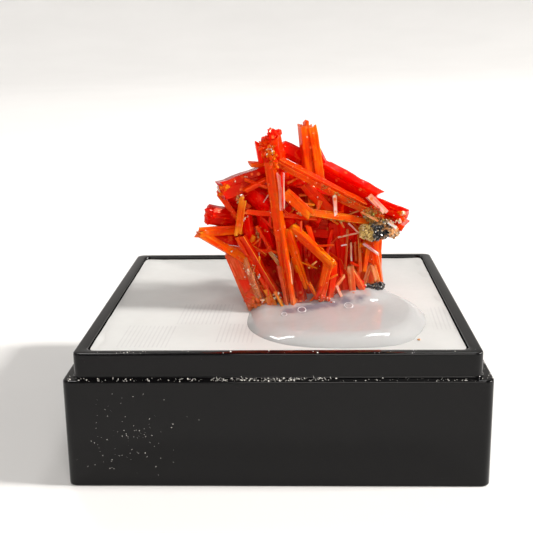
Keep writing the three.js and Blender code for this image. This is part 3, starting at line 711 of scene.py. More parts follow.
# %% [markdown]
# ### From drawing board to crystal
# A point of the drawing board is slid along its line of sight, so it keeps its place in the view. All the
# crystals, lumps and grains are placed by it.

# %% From drawing board to space


def seen_at(across, up, depth):
    """A point of the drawing board, slid along its line of sight to its depth."""
    on_board = Vector((across, 0, BLOCK_HEIGHT + up))
    return VIEWING_POINT.lerp(on_board, (depth - VIEWING_POINT.y) / -VIEWING_POINT.y)


print("the tall tower ends at", seen_at(*CRYSTALS["tall tower left"][0]), "mm")

# %% [markdown]
# A real prism isn't one smooth rod. It is a bundle of parallel laths that grew side by side, each a little
# proud of the next, with its own length. Building it like that gives the lengthwise grooves and the stepped
# ends for nothing. Each lath is a ring of corners with small chamfers, carried along the prism through a
# few stops, where it strays and swells a little; at its ends it is chipped.

# %% Rings of one lath
STOP_SPACING = 0.8  # mm between the rings of a lath
CROOKED = 0.022  # mm that a lath's corners stray at each ring
CHAMFER = 0.035  # mm
BROKEN = 0.3  # how far an end is chipped, as a share of half the lath's width
SWELL = 0.05  # how much the width wanders along a lath


def chamfered(corners, cut):
    """A polygon with each corner cut off by a short edge."""
    cut_corners = []
    for i, corner in enumerate(corners):
        for neighbour in (corners[i - 1], corners[(i + 1) % len(corners)]):
            towards = neighbour - corner
            cut_corners.append(corner + towards.normalized() * min(cut, towards.length * 0.3))
    return cut_corners


def lath_stops(length):
    """Where the rings of a lath lie, as shares of its length."""
    bevel = min(CHAMFER, length * 0.1) / length
    inner = max(2, round(length / STOP_SPACING))
    return [0, bevel, *(i / inner for i in range(1, inner)), 1 - bevel, 1]


def lath_rings(built, section, start, length, slants, taper, dice):
    """The rings of corners along a lath, and how far its two ends are chipped."""
    middle = sum(section, Vector((0, 0))) / len(section)
    widest = max((p - middle).length for p in section)
    stops = lath_stops(length)
    chips = len(section) // 2 + 1
    jags = [[dice.uniform(-1, 1) * BROKEN * widest for _ in range(chips)] for _ in range(2)]
    rings = []
    for row, stop in enumerate(stops):
        inset = max(0.5, 1 - CHAMFER / widest) if stop in (0, 1) else 1
        swell = 1 + (dice.uniform(-SWELL, SWELL) if 1 < row < len(stops) - 2 else 0)
        width = (1 - (1 - taper) * stop) * swell
        slant = slants[0].lerp(slants[1], stop)
        ring = []
        for i, p in enumerate(section):
            spot = (middle + (p - middle) * inset) * width
            jag = jags[0][i // 2] if row < 2 else jags[1][i // 2] if row > len(stops) - 3 else 0
            if i % 2 == 0:
                stray = Vector((dice.uniform(-1, 1), dice.uniform(-1, 1))) * min(CROOKED, widest * 0.1)
            spot += stray
            along = start + length * stop + slant.dot(spot - middle * width) + jag
            ring.append(built.verts.new((*spot, along)))
        rings.append(ring)
    return rings, jags


# %% [markdown]
# The rings are then joined by faces. Every face corner is painted with the crystal's own colour, and the
# corners of a chamfer get a painted highlight, a paler paint; the finish reads all of it back later. The UV
# map holds plain millimetres, round and along the lath, so that the streaks in the finish run lengthwise,
# and the dice shift it, so that no two laths have the same streaks.

# %% One lath


def lath(section, start, end, slants, taper, paint, dice):
    """A closed mesh along +Z; section is a polygon, and slants tilt the two ends."""
    built = bmesh.new()
    grain = built.loops.layers.uv.new("grain")
    tint = built.loops.layers.float_color.new("tint")
    count = len(section)
    length = end - start
    stops = lath_stops(length)
    rings, jags = lath_rings(built, section, start, length, slants, taper, dice)
    around = [0]
    for p, q in zip(section, section[1:] + section[:1]):
        around.append(around[-1] + (q - p).length)
    shift = Vector((dice.uniform(0, 50), dice.uniform(0, 50)))
    for row, (low, high) in enumerate(zip(rings, rings[1:])):
        for i in range(count):
            k = (i + 1) % count
            face = built.faces.new((low[i], low[k], high[k], high[i]))
            # chamfer faces carry a painted highlight: their paint is made paler
            painted_highlight_edge = around[i + 1] - around[i] < 1.5 * CHAMFER
            places = [(around[i], row), (around[i + 1], row), (around[i + 1], row + 1), (around[i], row + 1)]
            for loop, (u, v) in zip(face.loops, places):
                loop[grain].uv = Vector((u, start + length * stops[v])) + shift
                loop[tint] = paint(stops[v], painted_highlight_edge)
    for ring, jag, stop in ((rings[0][::-1], jags[0][-1], 0), (rings[-1], jags[1][-1], 1)):
        centre = sum((corner.co for corner in ring), Vector()) / count
        peak = built.verts.new(centre + Vector((0, 0, jag)))
        for i, corner in enumerate(ring):
            face = built.faces.new((corner, ring[(i + 1) % count], peak))
            for loop in face.loops:
                loop[grain].uv = loop.vert.co.xy + shift
                loop[tint] = paint(stop, False)
    return built


# %% [markdown]
# The looks are a short paint box. A look has a colour for the body of the crystal and one for its ends, and
# a share of dirt, kept in the alpha of the painted corners, where less than nothing means clean, with
# fainter streaks. Red crystals are massive, with few broad laths, and orange and pale ones are fibrous. The
# striped look is pale laths with red gaps between them. The pale, pink and striped looks are partly the
# crystal's own paler colour and partly a painted reflection: a pinkish-white sheen on faces that mirror a
# lamp. The deep look is a darker red for crystals in the hollows and inside the heap, a painted shade. Small
# throws of the dice part one lath from the next, as in the real thing; the dice are seeded, so each run gives
# the same crystals.

# %% Paint box
LOOKS = {
    # look: (body, ends, dirt, width of a lath in mm, how far its edges are cut off in mm)
    "orange": ((1.0, 0.068, 0), (1.0, 0.14, 0.003), 0.3, 0.42, 0.04),
    "ember": ((1.0, 0.016, 0), (1.0, 0.05, 0.001), 0.15, 0.5, 0.04),
    "red": ((1.0, 0.001, 0), (1.0, 0.01, 0), -0.4, 0.52, 0.05),
    "glassy": ((0.68, 0.0005, 0), (0.8, 0.004, 0), -1.0, 1.2, 0.3),
    "garnet": ((0.55, 0.0002, 0), (0.75, 0.002, 0), -0.6, 0.7, 0.06),
    # painted shade: the deep look is red darkened for crystals in the hollows and inside the heap
    "deep": ((0.9, 0.0002, 0), (0.9, 0.001, 0), -0.4, 0.6, 0.05),
    "golden": ((1.0, 0.12, 0.002), (1.0, 0.18, 0.01), 0.2, 0.32, 0.03),
    "rusty": ((1.0, 0.06, 0), (0.75, 0.1, 0.005), 0.5, 0.34, 0.035),
    "ochre": ((0.4, 0.17, 0.035), (0.25, 0.12, 0.03), 0.6, 0.3, 0.02),
    "tan": ((0.66, 0.23, 0.1), (0.6, 0.18, 0.04), 0.6, 0.26, 0.03),
    # pink, striped and pale: partly the crystal's own paler colour, partly a painted reflection
    # (pinkish-white sheen)
    "pink": ((0.85, 0.1, 0.025), (0.75, 0.12, 0.04), 0.15, 0.45, 0.035),
    "peach": ((1.0, 0.2, 0.06), (0.9, 0.34, 0.12), 0.15, 0.4, 0.03),
    "cream": ((0.9, 0.4, 0.14), (0.8, 0.38, 0.15), 0.3, 0.26, 0.03),
    "striped": ((1.0, 0.3, 0.24), (1.0, 0.42, 0.36), 0.0, 0.09, 0.015),
    "pale": ((1.0, 0.42, 0.3), (1.0, 0.56, 0.4), 0.0, 0.25, 0.025),
    # painted highlight: the next look is near-white paint that stands for small glints
    "glint": ((1.0, 0.62, 0.4), (1.0, 0.8, 0.6), 0.0, 0.3, 0.02),
}
# painted highlight: the chamfers of a lath are painted paler, as edges that catch the light
EDGE_PAINTED_HIGHLIGHT = (0.02, 0.3)  # how much paler the edges of a lath are
RED_STRIPES = 0.25  # share of a striped crystal's laths that are red
PALE_LOOKS = ("pink", "peach", "cream", "pale", "tan", "glint")
PALE_SPREAD, RED_SPREAD = 1.2, 1.7  # most that a lath is yellower or redder than its look, as a factor
SHADES = (0.75, 1.15)  # darkest and brightest lath of a look, as a factor


def painter(look, dice, light=1.0):
    """The paint of one lath: a function of the place along it, and of whether it is on a chamfer, which gets
    a painted highlight.
    """
    if look == "striped" and dice.random() < RED_STRIPES:
        look = "red"
    body, ends, dirt = LOOKS[look][:3]
    shade = dice.uniform(*SHADES) * light
    spread = PALE_SPREAD if look in PALE_LOOKS else RED_SPREAD
    yellower = dice.uniform(1 / spread, spread)
    glow = dice.uniform(*EDGE_PAINTED_HIGHLIGHT)

    def paint(along, painted_highlight_edge):
        end_share = (abs(along - 0.5) * 2) ** 4
        r, g, b = (p * (1 - end_share) + q * end_share for p, q in zip(body, ends))
        # on a chamfer the paint gets a painted highlight, paler and more orange
        lit = glow if painted_highlight_edge else 0
        red = min(1, r * shade + lit * 2)
        return (red, g * shade * yellower + lit, b * shade * yellower + lit * 0.1, dirt)

    return paint


print(len(LOOKS), "looks:", *LOOKS)

# %% [markdown]
# A bundle shares the crystal's rectangle out among its laths. The prism axis is set up as a frame: one side
# across, one deep, and the axis itself, with a roll that differs from crystal to crystal. The laths fan out
# a little, end at different lengths, and break off at a slant.

# %% The frame and the cross-section of a lath
ROLL_MOST, ROLL_STEP = math.radians(24), 37  # the roll is this much times the sine of a step per crystal
GROOVE = 0.05  # most that a lath lies back, as a share of the crystal's thickness


def crystal_frame(start, end, roll):
    """Turns +Z to the crystal's axis, and moves the origin to its start."""
    axis = (end - start).normalized()
    side = Vector((0, 1, 0)).cross(axis).normalized()
    deep = axis.cross(side)
    turn = Matrix((side, deep, axis)).transposed() @ Matrix.Rotation(roll, 3, "Z")
    return Matrix.Translation(start) @ turn.to_4x4()


def any_turn(most, dice):
    """A turn of up to so many radians about any axis."""
    return Matrix.Rotation(dice.uniform(0, most), 4, [dice.gauss(0, 1) for _ in range(3)])


def lath_section(left, right, thickness, cut, dice):
    """A slightly crooked rectangle, with its corners cut off."""
    front, back = (thickness / 2 * (1 - dice.uniform(0, 2 * GROOVE)) for _ in range(2))
    lean = min(thickness, right - left) * dice.uniform(-0.2, 0.2)
    corners = [(left, -front), (right, -front + max(0, lean)), (right, back), (left, back - max(0, -lean))]
    return chamfered([Vector(p) for p in corners], cut)


# %% The laths of one crystal
END_SLANT = 0.35  # most slant of a crystal's ends, as a share of its width
SLANT_SPREAD = (0.3, 0.4)  # how far a lath's own slant strays from it, across and deep
FAN = math.radians(0.7)
OVERLAP = 0.03  # mm that neighbouring laths share
LATH_SHARES = (0.35, 1.65)  # narrowest and widest lath, against the average


def laths_of(index, width, thickness, length, look, taper, dice):
    """The laths of a crystal that stands on the origin, each with the turn that fans it out."""
    slant = END_SLANT * math.sin(ROLL_STEP * index)
    lath_width, cut = LOOKS[look][3:]
    count = max(1, round(width / lath_width))
    shares = [dice.uniform(*LATH_SHARES) for _ in range(count)]
    cuts = [sum(shares[:i]) / sum(shares) - 0.5 for i in range(1, count)]
    tallest = dice.randrange(count)
    across, deep = SLANT_SPREAD
    for i, (left, right) in enumerate(zip([-0.5, *cuts], [*cuts, 0.5])):
        left = left * width - (OVERLAP if i > 0 else 0)
        right = right * width + (OVERLAP if i < count - 1 else 0)
        section = lath_section(left, right, thickness, cut, dice)
        short = 0 if i == tallest else min(0.45 * width, 0.1 * length)
        first, last = dice.uniform(0, short), length - dice.uniform(0, short)
        slants = [
            Vector((end_slant + dice.uniform(-across, across), dice.uniform(-deep, deep)))
            for end_slant in (slant, -slant)
        ]
        built = lath(section, first, last, slants, taper, painter(look, dice), dice)
        twist = Matrix.Rotation(FAN * dice.uniform(-1, 1), 4, "X")
        yield built, twist @ Matrix.Rotation(FAN * (left + right) / width, 4, "Y")


# %% [markdown]
# Two small things make a face look grown and not planed. Thin slivers are young laths that began on the
# front or the back of the prism and cover only a part of its length. Chips are tiny blocks on the front,
# where the brittle crystal splintered; they are painted near white, a painted highlight for fresh faces that
# catch the light.

# %% Slivers and chips on one crystal
SLIVERS_PER_AREA = 0.35  # per square millimetre of a crystal's front
SLIVER_WIDTH, SLIVER_THICKNESS = (0.08, 0.17), (0.04, 0.08)  # mm
SLIVER_START, SLIVER_LENGTH = (0, 0.6), (0.15, 0.38)  # as shares of the crystal's length
SLIVER_SHAPE = [(-1, -1), (1, -1), (0.7, 1), (-0.7, 1)]
SLIVER_LIGHT = 1.25  # how much brighter than its crystal
SUNK = 0.03  # mm that it lies in its crystal
CHIPS_PER_AREA = 0.22  # per square millimetre of a crystal's front
CHIP_SIZE = (0.04, 0.1)  # mm
CHIP_SHAPE = [(-1, -0.6), (0.8, -1), (1, 0.7), (-0.7, 1)]


def slivers_of(width, thickness, length, look, taper, dice):
    """Thin laths on the front and the back, with a tenth of their crystal's taper."""
    for _ in range(round(width * length * SLIVERS_PER_AREA)):
        wide, deep = dice.uniform(*SLIVER_WIDTH), dice.uniform(*SLIVER_THICKNESS)
        across = dice.uniform(-0.42, 0.42) * width
        face = dice.choice((-1, 1)) * (thickness / 2 - SUNK)
        section = [Vector((across + x * wide / 2, face + y * deep)) for x, y in SLIVER_SHAPE]
        first = dice.uniform(*SLIVER_START) * length
        last = first + dice.uniform(*SLIVER_LENGTH) * length
        slants = [Vector((dice.uniform(-1.5, 1.5), 0)) for _ in range(2)]
        paint = painter(look, dice, SLIVER_LIGHT)
        yield lath(section, first, last, slants, 0.9 + 0.1 * taper, paint, dice)


def chips_of(width, thickness, length, dice):
    """Blocks on the front painted near white as a painted highlight, each with its place and its turn."""
    for _ in range(round(width * length * CHIPS_PER_AREA)):
        half = dice.uniform(*CHIP_SIZE) / 2
        section = [Vector(p) * half for p in CHIP_SHAPE]
        slants = [Vector((0.5, 0.3)), Vector((-0.6, 0.2))]
        # each chip is painted with the near-white glint look: a painted highlight
        built = lath(section, -half * 1.5, half * 1.5, slants, 1, painter("glint", dice), dice)
        turn = any_turn(math.pi, dice)
        across, along = dice.uniform(-0.45, 0.45) * width, dice.uniform(0.05, 0.95) * length
        yield built, Vector((across, -thickness / 2 + half * 0.3, along)), turn


# %% One crystal as a bundle of laths
TAPER = 0.9  # width at a crystal's second end, as a share of its first
BUNDLE_SEED = 1000


def bundle(index, start, end, size, look, taper=TAPER):
    """The laths of one crystal with its slivers and chips, each a closed mesh in its place."""
    dice = random.Random(BUNDLE_SEED + index)
    prism = crystal_frame(start, end, ROLL_MOST * math.sin(index * ROLL_STEP + 1))
    length = (end - start).length
    made = []
    for built, fan in laths_of(index, *size, length, look, taper, dice):
        built.transform(prism @ fan)
        made.append(mesh_from(built, "lath"))
    for built in slivers_of(*size, length, look, taper, dice):
        built.transform(prism)
        made.append(mesh_from(built, "sliver"))
    for built, spot, turn in chips_of(*size, length, dice):
        built.transform(prism @ Matrix.Translation(spot) @ turn)
        made.append(mesh_from(built, "chip"))
    return made


# %% [markdown]
# Young crystals sprout from the old ones at all angles. Each is one short lath that starts in the middle of
# its parent and leaves it at a slant, so only its tip shows. They make the jackstraw heap dense. A sprout
# has a look near its parent's, and one that would stand out of the heap is left off.

# %% Sprouts on a crystal
SPROUT_SEED = 3000
SPROUTS_PER_MM = 0.42
SPROUT_LENGTH, SPROUT_WIDTH = (0.7, 1.5), (0.12, 0.26)  # mm
SPROUT_LEAN = (18, 55)  # degrees off the parent's axis
SPROUT_CUT = 0.02  # mm that its edges are cut off
SPROUT_LIGHT = 1.1  # how much brighter than its look
HEAP_MIDDLE, HEAP_REACH = (2.6, 6.2), 5.6  # mm across and up: sprouts keep inside this circle
SPROUT_LOOKS = {
    # look of the parent: looks of its sprouts; crystals of other looks have none
    "orange": ("orange", "ember", "pink"),
    "ember": ("ember", "orange", "red"),
    "red": ("red", "ember", "ember"),
    "deep": ("red", "deep", "ember"),
    "rusty": ("rusty", "orange", "tan"),
    "glassy": ("red", "ember", "ember"),
}


def in_heap(tip):
    """Whether the tip of a sprout keeps inside the heap."""
    across = (tip.x - HEAP_MIDDLE[0]) / HEAP_REACH
    up = (tip.z - BLOCK_HEIGHT - HEAP_MIDDLE[1]) / HEAP_REACH
    return across * across + up * up <= 1


def sprouts(index, start, end, size, look):
    """Short laths off one crystal, each a closed mesh in its place."""
    dice = random.Random(SPROUT_SEED + index)
    along = end - start
    made = []
    for _ in range(round(along.length * SPROUTS_PER_MM) if look in SPROUT_LOOKS else 0):
        root = start + along * dice.uniform(0.08, 0.92)
        lean = math.radians(dice.uniform(*SPROUT_LEAN)) * dice.choice((-1, 1))
        axis = Matrix.Rotation(lean, 3, "Y") @ along.normalized() * dice.choice((-1, 1))
        axis += Vector((0, dice.uniform(-0.5, 0.1), 0))
        width = dice.uniform(*SPROUT_WIDTH)
        reach = size[0] / 2 + dice.uniform(*SPROUT_LENGTH)
        section = lath_section(-width / 2, width / 2, width * dice.uniform(0.7, 1), SPROUT_CUT, dice)
        slants = [Vector((dice.uniform(-0.6, 0.6), dice.uniform(-0.4, 0.4))) for _ in range(2)]
        paint = painter(dice.choice(SPROUT_LOOKS[look]), dice, SPROUT_LIGHT)
        if in_heap(root + axis.normalized() * reach):
            built = lath(section, 0, reach, slants, dice.uniform(0.6, 0.95), paint, dice)
            built.transform(crystal_frame(root, root + axis, dice.uniform(-0.6, 0.6)))
            made.append(mesh_from(built, "sprout"))
    return made


# %% [markdown]
# Sugary crusts of tiny crystals cover the heads and the feet of the prisms and fill the hollows between
# them. Each grain is a short lath, and the dice turn it.

# %% Sugary crusts
# rows with the near-white glint look are painted highlights: grains painted as glints
SUGAR = [
    # middle (across, up, depth), reach (across, back, up), how many, size in mm, look
    ((-0.75, 15.3, -2.3), (0.8, 0.5, 1.1), 60, 0.34, "ember"),
    ((-0.45, 16.2, -2.3), (0.5, 0.4, 0.4), 16, 0.4, "red"),
    ((-0.6, 13.8, -2.9), (0.45, 0.25, 0.9), 30, 0.22, "orange"),
    ((-0.7, 14.6, -2.9), (0.5, 0.2, 0.8), 26, 0.16, "golden"),
    ((-0.7, 14.9, -2.9), (0.35, 0.12, 0.45), 16, 0.11, "glint"),
    ((-2.1, 1.25, -4.0), (0.75, 0.35, 0.6), 60, 0.24, "orange"),
    ((-2.0, 1.15, -4.15), (0.75, 0.3, 0.5), 34, 0.2, "golden"),
    ((-2.3, 2.7, -4.05), (0.45, 0.12, 0.9), 14, 0.08, "glint"),
    ((-6.0, 9.3, -2.95), (0.3, 0.35, 0.6), 34, 0.42, "glassy"),
    ((-3.5, 10.6, -3.1), (0.35, 0.25, 0.35), 22, 0.16, "tan"),
    ((-1.85, 7.7, -2.9), (0.25, 0.25, 0.6), 22, 0.13, "tan"),
    ((10.6, 9.0, -2.5), (0.35, 0.4, 0.5), 18, 0.22, "orange"),
    ((10.75, 9.25, -2.85), (0.16, 0.12, 0.16), 9, 0.14, "glint"),
    ((10.5, 8.6, -2.95), (0.16, 0.1, 0.2), 8, 0.12, "glint"),
    ((8.1, 9.5, -2.6), (0.9, 0.15, 0.45), 70, 0.1, "ochre"),
    ((3.9, 1.5, -3.9), (0.8, 0.3, 0.3), 26, 0.2, "pink"),
    ((3.9, 1.5, -4.1), (0.7, 0.2, 0.25), 12, 0.1, "glint"),
    ((6.6, 1.6, -3.3), (0.6, 0.2, 0.3), 18, 0.18, "pink"),
    ((-5.0, 11.4, -3.3), (0.35, 0.25, 0.5), 30, 0.2, "orange"),
    ((-5.3, 11.5, -3.4), (0.14, 0.2, 0.4), 12, 0.1, "glint"),
    ((-4.1, 12.15, -3.05), (0.35, 0.1, 0.12), 7, 0.1, "glint"),
    ((-4.75, 11.62, -3.45), (0.4, 0.16, 0.2), 22, 0.17, "golden"),
    ((-2.9, 4.3, -3.65), (0.35, 0.15, 0.7), 12, 0.09, "glint"),
    ((-0.3, 1.75, -4.45), (0.35, 0.12, 0.35), 12, 0.14, "glint"),
    ((-2.9, 9.0, -3.4), (0.3, 0.15, 0.35), 8, 0.09, "glint"),
    ((7.9, 9.2, -2.9), (0.7, 0.12, 0.4), 40, 0.1, "ochre"),
    ((8.9, 8.7, -2.95), (0.9, 0.15, 0.25), 30, 0.1, "ochre"),
    ((9.5, 8.6, -3.1), (0.7, 0.2, 0.25), 10, 0.13, "glint"),
    ((4.6, 5.0, -3.9), (0.35, 0.15, 0.3), 12, 0.16, "orange"),
    ((1.5, 1.2, -3.9), (0.5, 0.2, 0.3), 12, 0.18, "ember"),
    ((-2.5, 3.9, -3.85), (0.3, 0.12, 0.9), 50, 0.11, "tan"),
    ((-2.85, 4.07, -3.95), (0.05, 0.06, 0.14), 3, 0.22, "glint"),
    ((-1.55, 1.4, -4.45), (0.12, 0.06, 0.08), 3, 0.2, "glint"),
    ((-1.85, 3.7, -3.9), (0.22, 0.1, 0.45), 6, 0.12, "glint"),
    ((6.5, 2.0, -3.35), (0.06, 0.05, 0.06), 2, 0.2, "glint"),
    ((3.9, 11.6, -2.5), (0.4, 0.06, 0.25), 14, 0.09, "ochre"),
    ((5.0, 11.05, -2.46), (0.4, 0.06, 0.25), 14, 0.09, "ochre"),
    ((6.2, 10.45, -2.4), (0.5, 0.06, 0.3), 22, 0.09, "ochre"),
    ((1.35, 9.75, -3.05), (0.3, 0.06, 0.25), 12, 0.09, "ochre"),
    ((1.75, 9.3, -3.05), (0.3, 0.06, 0.2), 14, 0.1, "tan"),
    ((5.3, 8.65, -2.6), (0.8, 0.06, 0.15), 16, 0.09, "ochre"),
]
SUGAR_SEED = 500
GRAIN_SIZES = (0.55, 1.1)  # smallest and largest grain, as a share of the size in the table
GRAIN_SHAPE = [(-1, -0.8), (1, -0.8), (1, 0.8), (-1, 0.8)]
GRAIN_LENGTH = 1.6  # as a share of its width
GRAIN_LIGHT = 1.2  # how much brighter than its look


def sugar(patch, middle, reach, count, size, look):
    """The grains of one crust, each a closed mesh in its place."""
    dice = random.Random(SUGAR_SEED + patch)
    grains = []
    for _ in range(count):
        spot = seen_at(*middle) + Vector(dice.triangular(-1, 1, 0) * r for r in reach)
        half = dice.uniform(*GRAIN_SIZES) * size / 2
        section = [Vector(p) * half for p in GRAIN_SHAPE]
        end = half * GRAIN_LENGTH
        slants = [Vector((0.4, 0.2)), Vector((-0.4, 0.3))]
        grain = lath(section, -end, end, slants, 1, painter(look, dice, GRAIN_LIGHT), dice)
        grain.transform(Matrix.Translation(spot) @ any_turn(math.pi, dice))
        grains.append(mesh_from(grain, "grain"))
    return grains


print(len(SUGAR), "crusts of sugar with", sum(row[2] for row in SUGAR), "grains")

# %% [markdown]
# ### Joining the crystals
# Crystals that grew together are one solid. The laths are joined two by two, then the pairs two by two, and
# so on: each cut stays small, which is far quicker than adding one lath after another to a growing heap.
# The manifold solver keeps every joined mesh closed, and carries the paint and the UV map along.

# %% Join and cut closed meshes


def combined(pairs, operation):
    """Joins or cuts each pair of meshes, and gives back the results."""
    layer = bpy.context.scene.collection
    holders = []
    for first, second in pairs:
        body, tool = (bpy.data.objects.new("work", mesh) for mesh in (first, second))
        layer.objects.link(body)
        layer.objects.link(tool)
        cutter = body.modifiers.new("cut", "BOOLEAN")
        cutter.solver = "MANIFOLD"
        cutter.operation = operation
        cutter.object = tool
        holders.append((body, tool))
    graph = bpy.context.evaluated_depsgraph_get()
    results = []
    for body, _ in holders:
        results.append(bpy.data.meshes.new_from_object(body.evaluated_get(graph), depsgraph=graph))
    for body, tool in holders:
        for used in (body, tool):
            mesh = used.data
            bpy.data.objects.remove(used)
            bpy.data.meshes.remove(mesh)
    return results


def joined(meshes):
    """One mesh out of many, joined in pairs."""
    while len(meshes) > 1:
        odd = meshes[-1:] if len(meshes) % 2 else []
        meshes = combined(list(zip(meshes[::2], meshes[1::2])), "UNION") + odd
    return meshes[0]


# %% [markdown]
# Now the whole heap is made and joined. It is then cut with a block that stands on the insert: only what is
# inside the block stays, so the feet end flat on the skin.

# %% Join everything, and cut it flat
laths = []
for index, (start, end, size, look, *taper) in enumerate([*CRYSTALS.values(), *NEEDLES.values()]):
    laths += bundle(index, seen_at(*start), seen_at(*end), size, look, *taper)
    laths += sprouts(index, seen_at(*start), seen_at(*end), size, look)
for patch, row in enumerate(SUGAR):
    laths += sugar(patch, *row)
print(len(laths), "laths and grains")

block = bmesh.new()
bmesh.ops.create_cube(block, size=2 * BOX_HALF, matrix=Matrix.Translation((0, 0, INSERT_TOP + BOX_HALF)))
cluster_mesh = combined([(joined(laths), mesh_from(block, "block"))], "INTERSECT")[0]
cluster_mesh.materials.clear()
print("cluster has", len(cluster_mesh.polygons), "faces")

# %% [markdown]
# Where two faces cross at a very flat angle, the cut leaves edges far too short to see, and faces with no
# area. They trouble the programs that read the mesh later, so they are closed up.

# %% Close up the hairlines
HAIRLINE = 1e-4  # mm, shorter edges are closed up
clean = bmesh.new()
clean.from_mesh(cluster_mesh)
bmesh.ops.dissolve_degenerate(clean, dist=HAIRLINE, edges=clean.edges)
clean.to_mesh(cluster_mesh)
clean.free()
cluster_mesh.validate(clean_customdata=False)
print("cluster keeps", len(cluster_mesh.polygons), "faces")

# %% [markdown]
# The finish of crocoite is the point of the whole piece. The mineral is translucent, so light that enters
# one face colours its neighbours: that is the subsurface part. It bends light strongly and has a gloss like
# a gem, which is the refraction index. The painted colour is first broken up lengthwise, with lighter and
# darker streaks and a few pale threads: that is noise on the UV map, drawn out along the lath.

# %% Streaks along the laths
STREAKS = ((4, 0.35, 1), (13, 0.5, 1), (34, 0.9, 1))  # per mm across and along: broad, fine and hair-thin
LIGHTER, DARKER = (1.2, 2.1, 3, 1), (0.85, 0.3, 0.2, 1)  # factors on the paint
THREAD_ORANGE = (1, 0.16, 0.012, 1)


def streaks(finish):
    """Three noises that run lengthwise."""
    grain = finish.add("UVMap", {}, uv_map="grain").outputs[0]
    drawn_out = (finish.add("Mapping", {"Vector": grain, "Scale": scale}).outputs[0] for scale in STREAKS)
    return [finish.noise(place, 1, 2) for place in drawn_out]


def streaked(finish, paint, dirt, broad, fine, hair):
    """The paint with its streaks, which are faint where the dirt is less than nothing."""
    lit, dark = finish.tinted(paint, LIGHTER), finish.tinted(paint, DARKER)
    fibrous = finish.between(finish.ramp(dirt, -1, 0), 0.15, 1)
    colour = finish.mix(finish.times(finish.ramp(broad, 0.5, 0.68), fibrous), paint, lit)
    colour = finish.mix(finish.times(finish.ramp(broad, 0.42, 0.25), fibrous), colour, dark)
    colour = finish.mix(finish.times(finish.ramp(fine, 0.46, 0.3), 0.12), colour, dark)
    thread = finish.times(finish.ramp(hair, 0.6, 0.75), fibrous)
    return finish.mix(finish.times(thread, 0.3), colour, THREAD_ORANGE)


# %% [markdown]
# No crystal is the same all over either. Deep red patches, orange veils and small pale flaws lie in them,
# dirt gathers where the paint says so, and close to the insert they are hazy and frosted. All of these are
# noises on the place, and not on the UV map, so they run on from one lath to the next.

# %% Patches, veils, dirt and frost
DEEPER = (0.97, 0.3, 0.3, 1)  # factor on the colour
VEIL_ORANGE, FLAW_PEACH = (1, 0.13, 0.012, 1), (1, 0.17, 0.04, 1)
SOIL_BROWN = (0.22, 0.085, 0.02, 1)
HAZE_ROSE, FROST_PINK = (0.72, 0.16, 0.07, 1), (0.85, 0.38, 0.24, 1)
HAZE_LEVELS = (INSERT_TOP + 3.4, INSERT_TOP + 0.2)  # mm, from none to full
FROST_LEVELS = (INSERT_TOP + 2, INSERT_TOP + 0.7)  # mm, from none to full


def clouded(finish, colour, where):
    """The colour with its deep patches, veils and flaws."""
    deep = finish.times(finish.ramp(finish.noise(where, 0.7, 2), 0.45, 0.62), 0.6)
    colour = finish.mix(deep, colour, finish.tinted(colour, DEEPER))
    veil = finish.times(finish.ramp(finish.noise(where, 1.5, 3), 0.58, 0.76), 0.6)
    colour = finish.mix(veil, colour, VEIL_ORANGE)
    flaw = finish.add("TexVoronoi", {"Vector": where, "Scale": 1.1}).outputs["Distance"]
    return finish.mix(finish.ramp(flaw, 0.2, 0.1), colour, FLAW_PEACH)


def frosted(finish, colour, where, broad):
    """The colour with haze and frost low down."""
    height = finish.add("SeparateXYZ", {0: where}).outputs["Z"]
    haze = finish.times(finish.ramp(height, *HAZE_LEVELS), finish.ramp(broad, 0.35, 0.6))
    colour = finish.mix(finish.times(haze, 0.55), colour, HAZE_ROSE)
    patches = finish.ramp(finish.noise(where, 2.2, 3), 0.4, 0.65)
    frost = finish.times(finish.ramp(height, *FROST_LEVELS), patches)
    return finish.mix(finish.times(frost, 0.4), colour, FROST_PINK)


# %% Finish of the crocoite


def crocoite_finish():
    finish = Finish("crocoite")
    where = finish.where()
    painted = finish.add("Attribute", {}, attribute_name="tint")
    dirt = painted.outputs["Alpha"]
    broad, fine, hair = streaks(finish)
    colour = streaked(finish, painted.outputs["Color"], dirt, broad, fine, hair)
    colour = clouded(finish, colour, where)
    soil = finish.times(finish.ramp(finish.noise(where, 3.2, 5, 0.7), 0.5, 0.62), dirt)
    soil = finish.maths("MAXIMUM", soil, 0)
    colour = finish.mix(finish.times(soil, 0.75), colour, SOIL_BROWN)
    finish.set(
        Base_Color=frosted(finish, colour, where, broad),
        Roughness=finish.maths("ADD", finish.between(fine, 0.02, 0.2), finish.times(soil, 0.4)),
        IOR=1.6,
        Specular_Tint=(1, 0.22, 0.09, 1),
        Subsurface_Weight=0.6,
        Subsurface_Radius=(1, 0.12, 0.03),
        Subsurface_Scale=0.9 * MM,
        Transmission_Weight=0.3,
    )
    finish.bump(finish.maths("ADD", fine, finish.times(hair, 0.4)), 0.25, 0.03)
    return finish.material


dress("crocoite_cluster_crystals", cluster_mesh, [crocoite_finish()], "crocoite_cluster")

# %% [markdown]
# ## The glue
# The specimen is held by a puddle of milky glue, thin at the left, thick at the front and right, with a
# mound round the crystals' feet. Its outline is drawn on the insert by a few points with a smooth curve
# through them, and one formula gives the height at any place inside it: full in the middle, with a round
# shoulder at the edge. Glue wets what it touches, so it also climbs a little where a crystal stands in it.
# Modelling it by hand would do too, but bubbles and craters need its exact height, and a formula tells it.

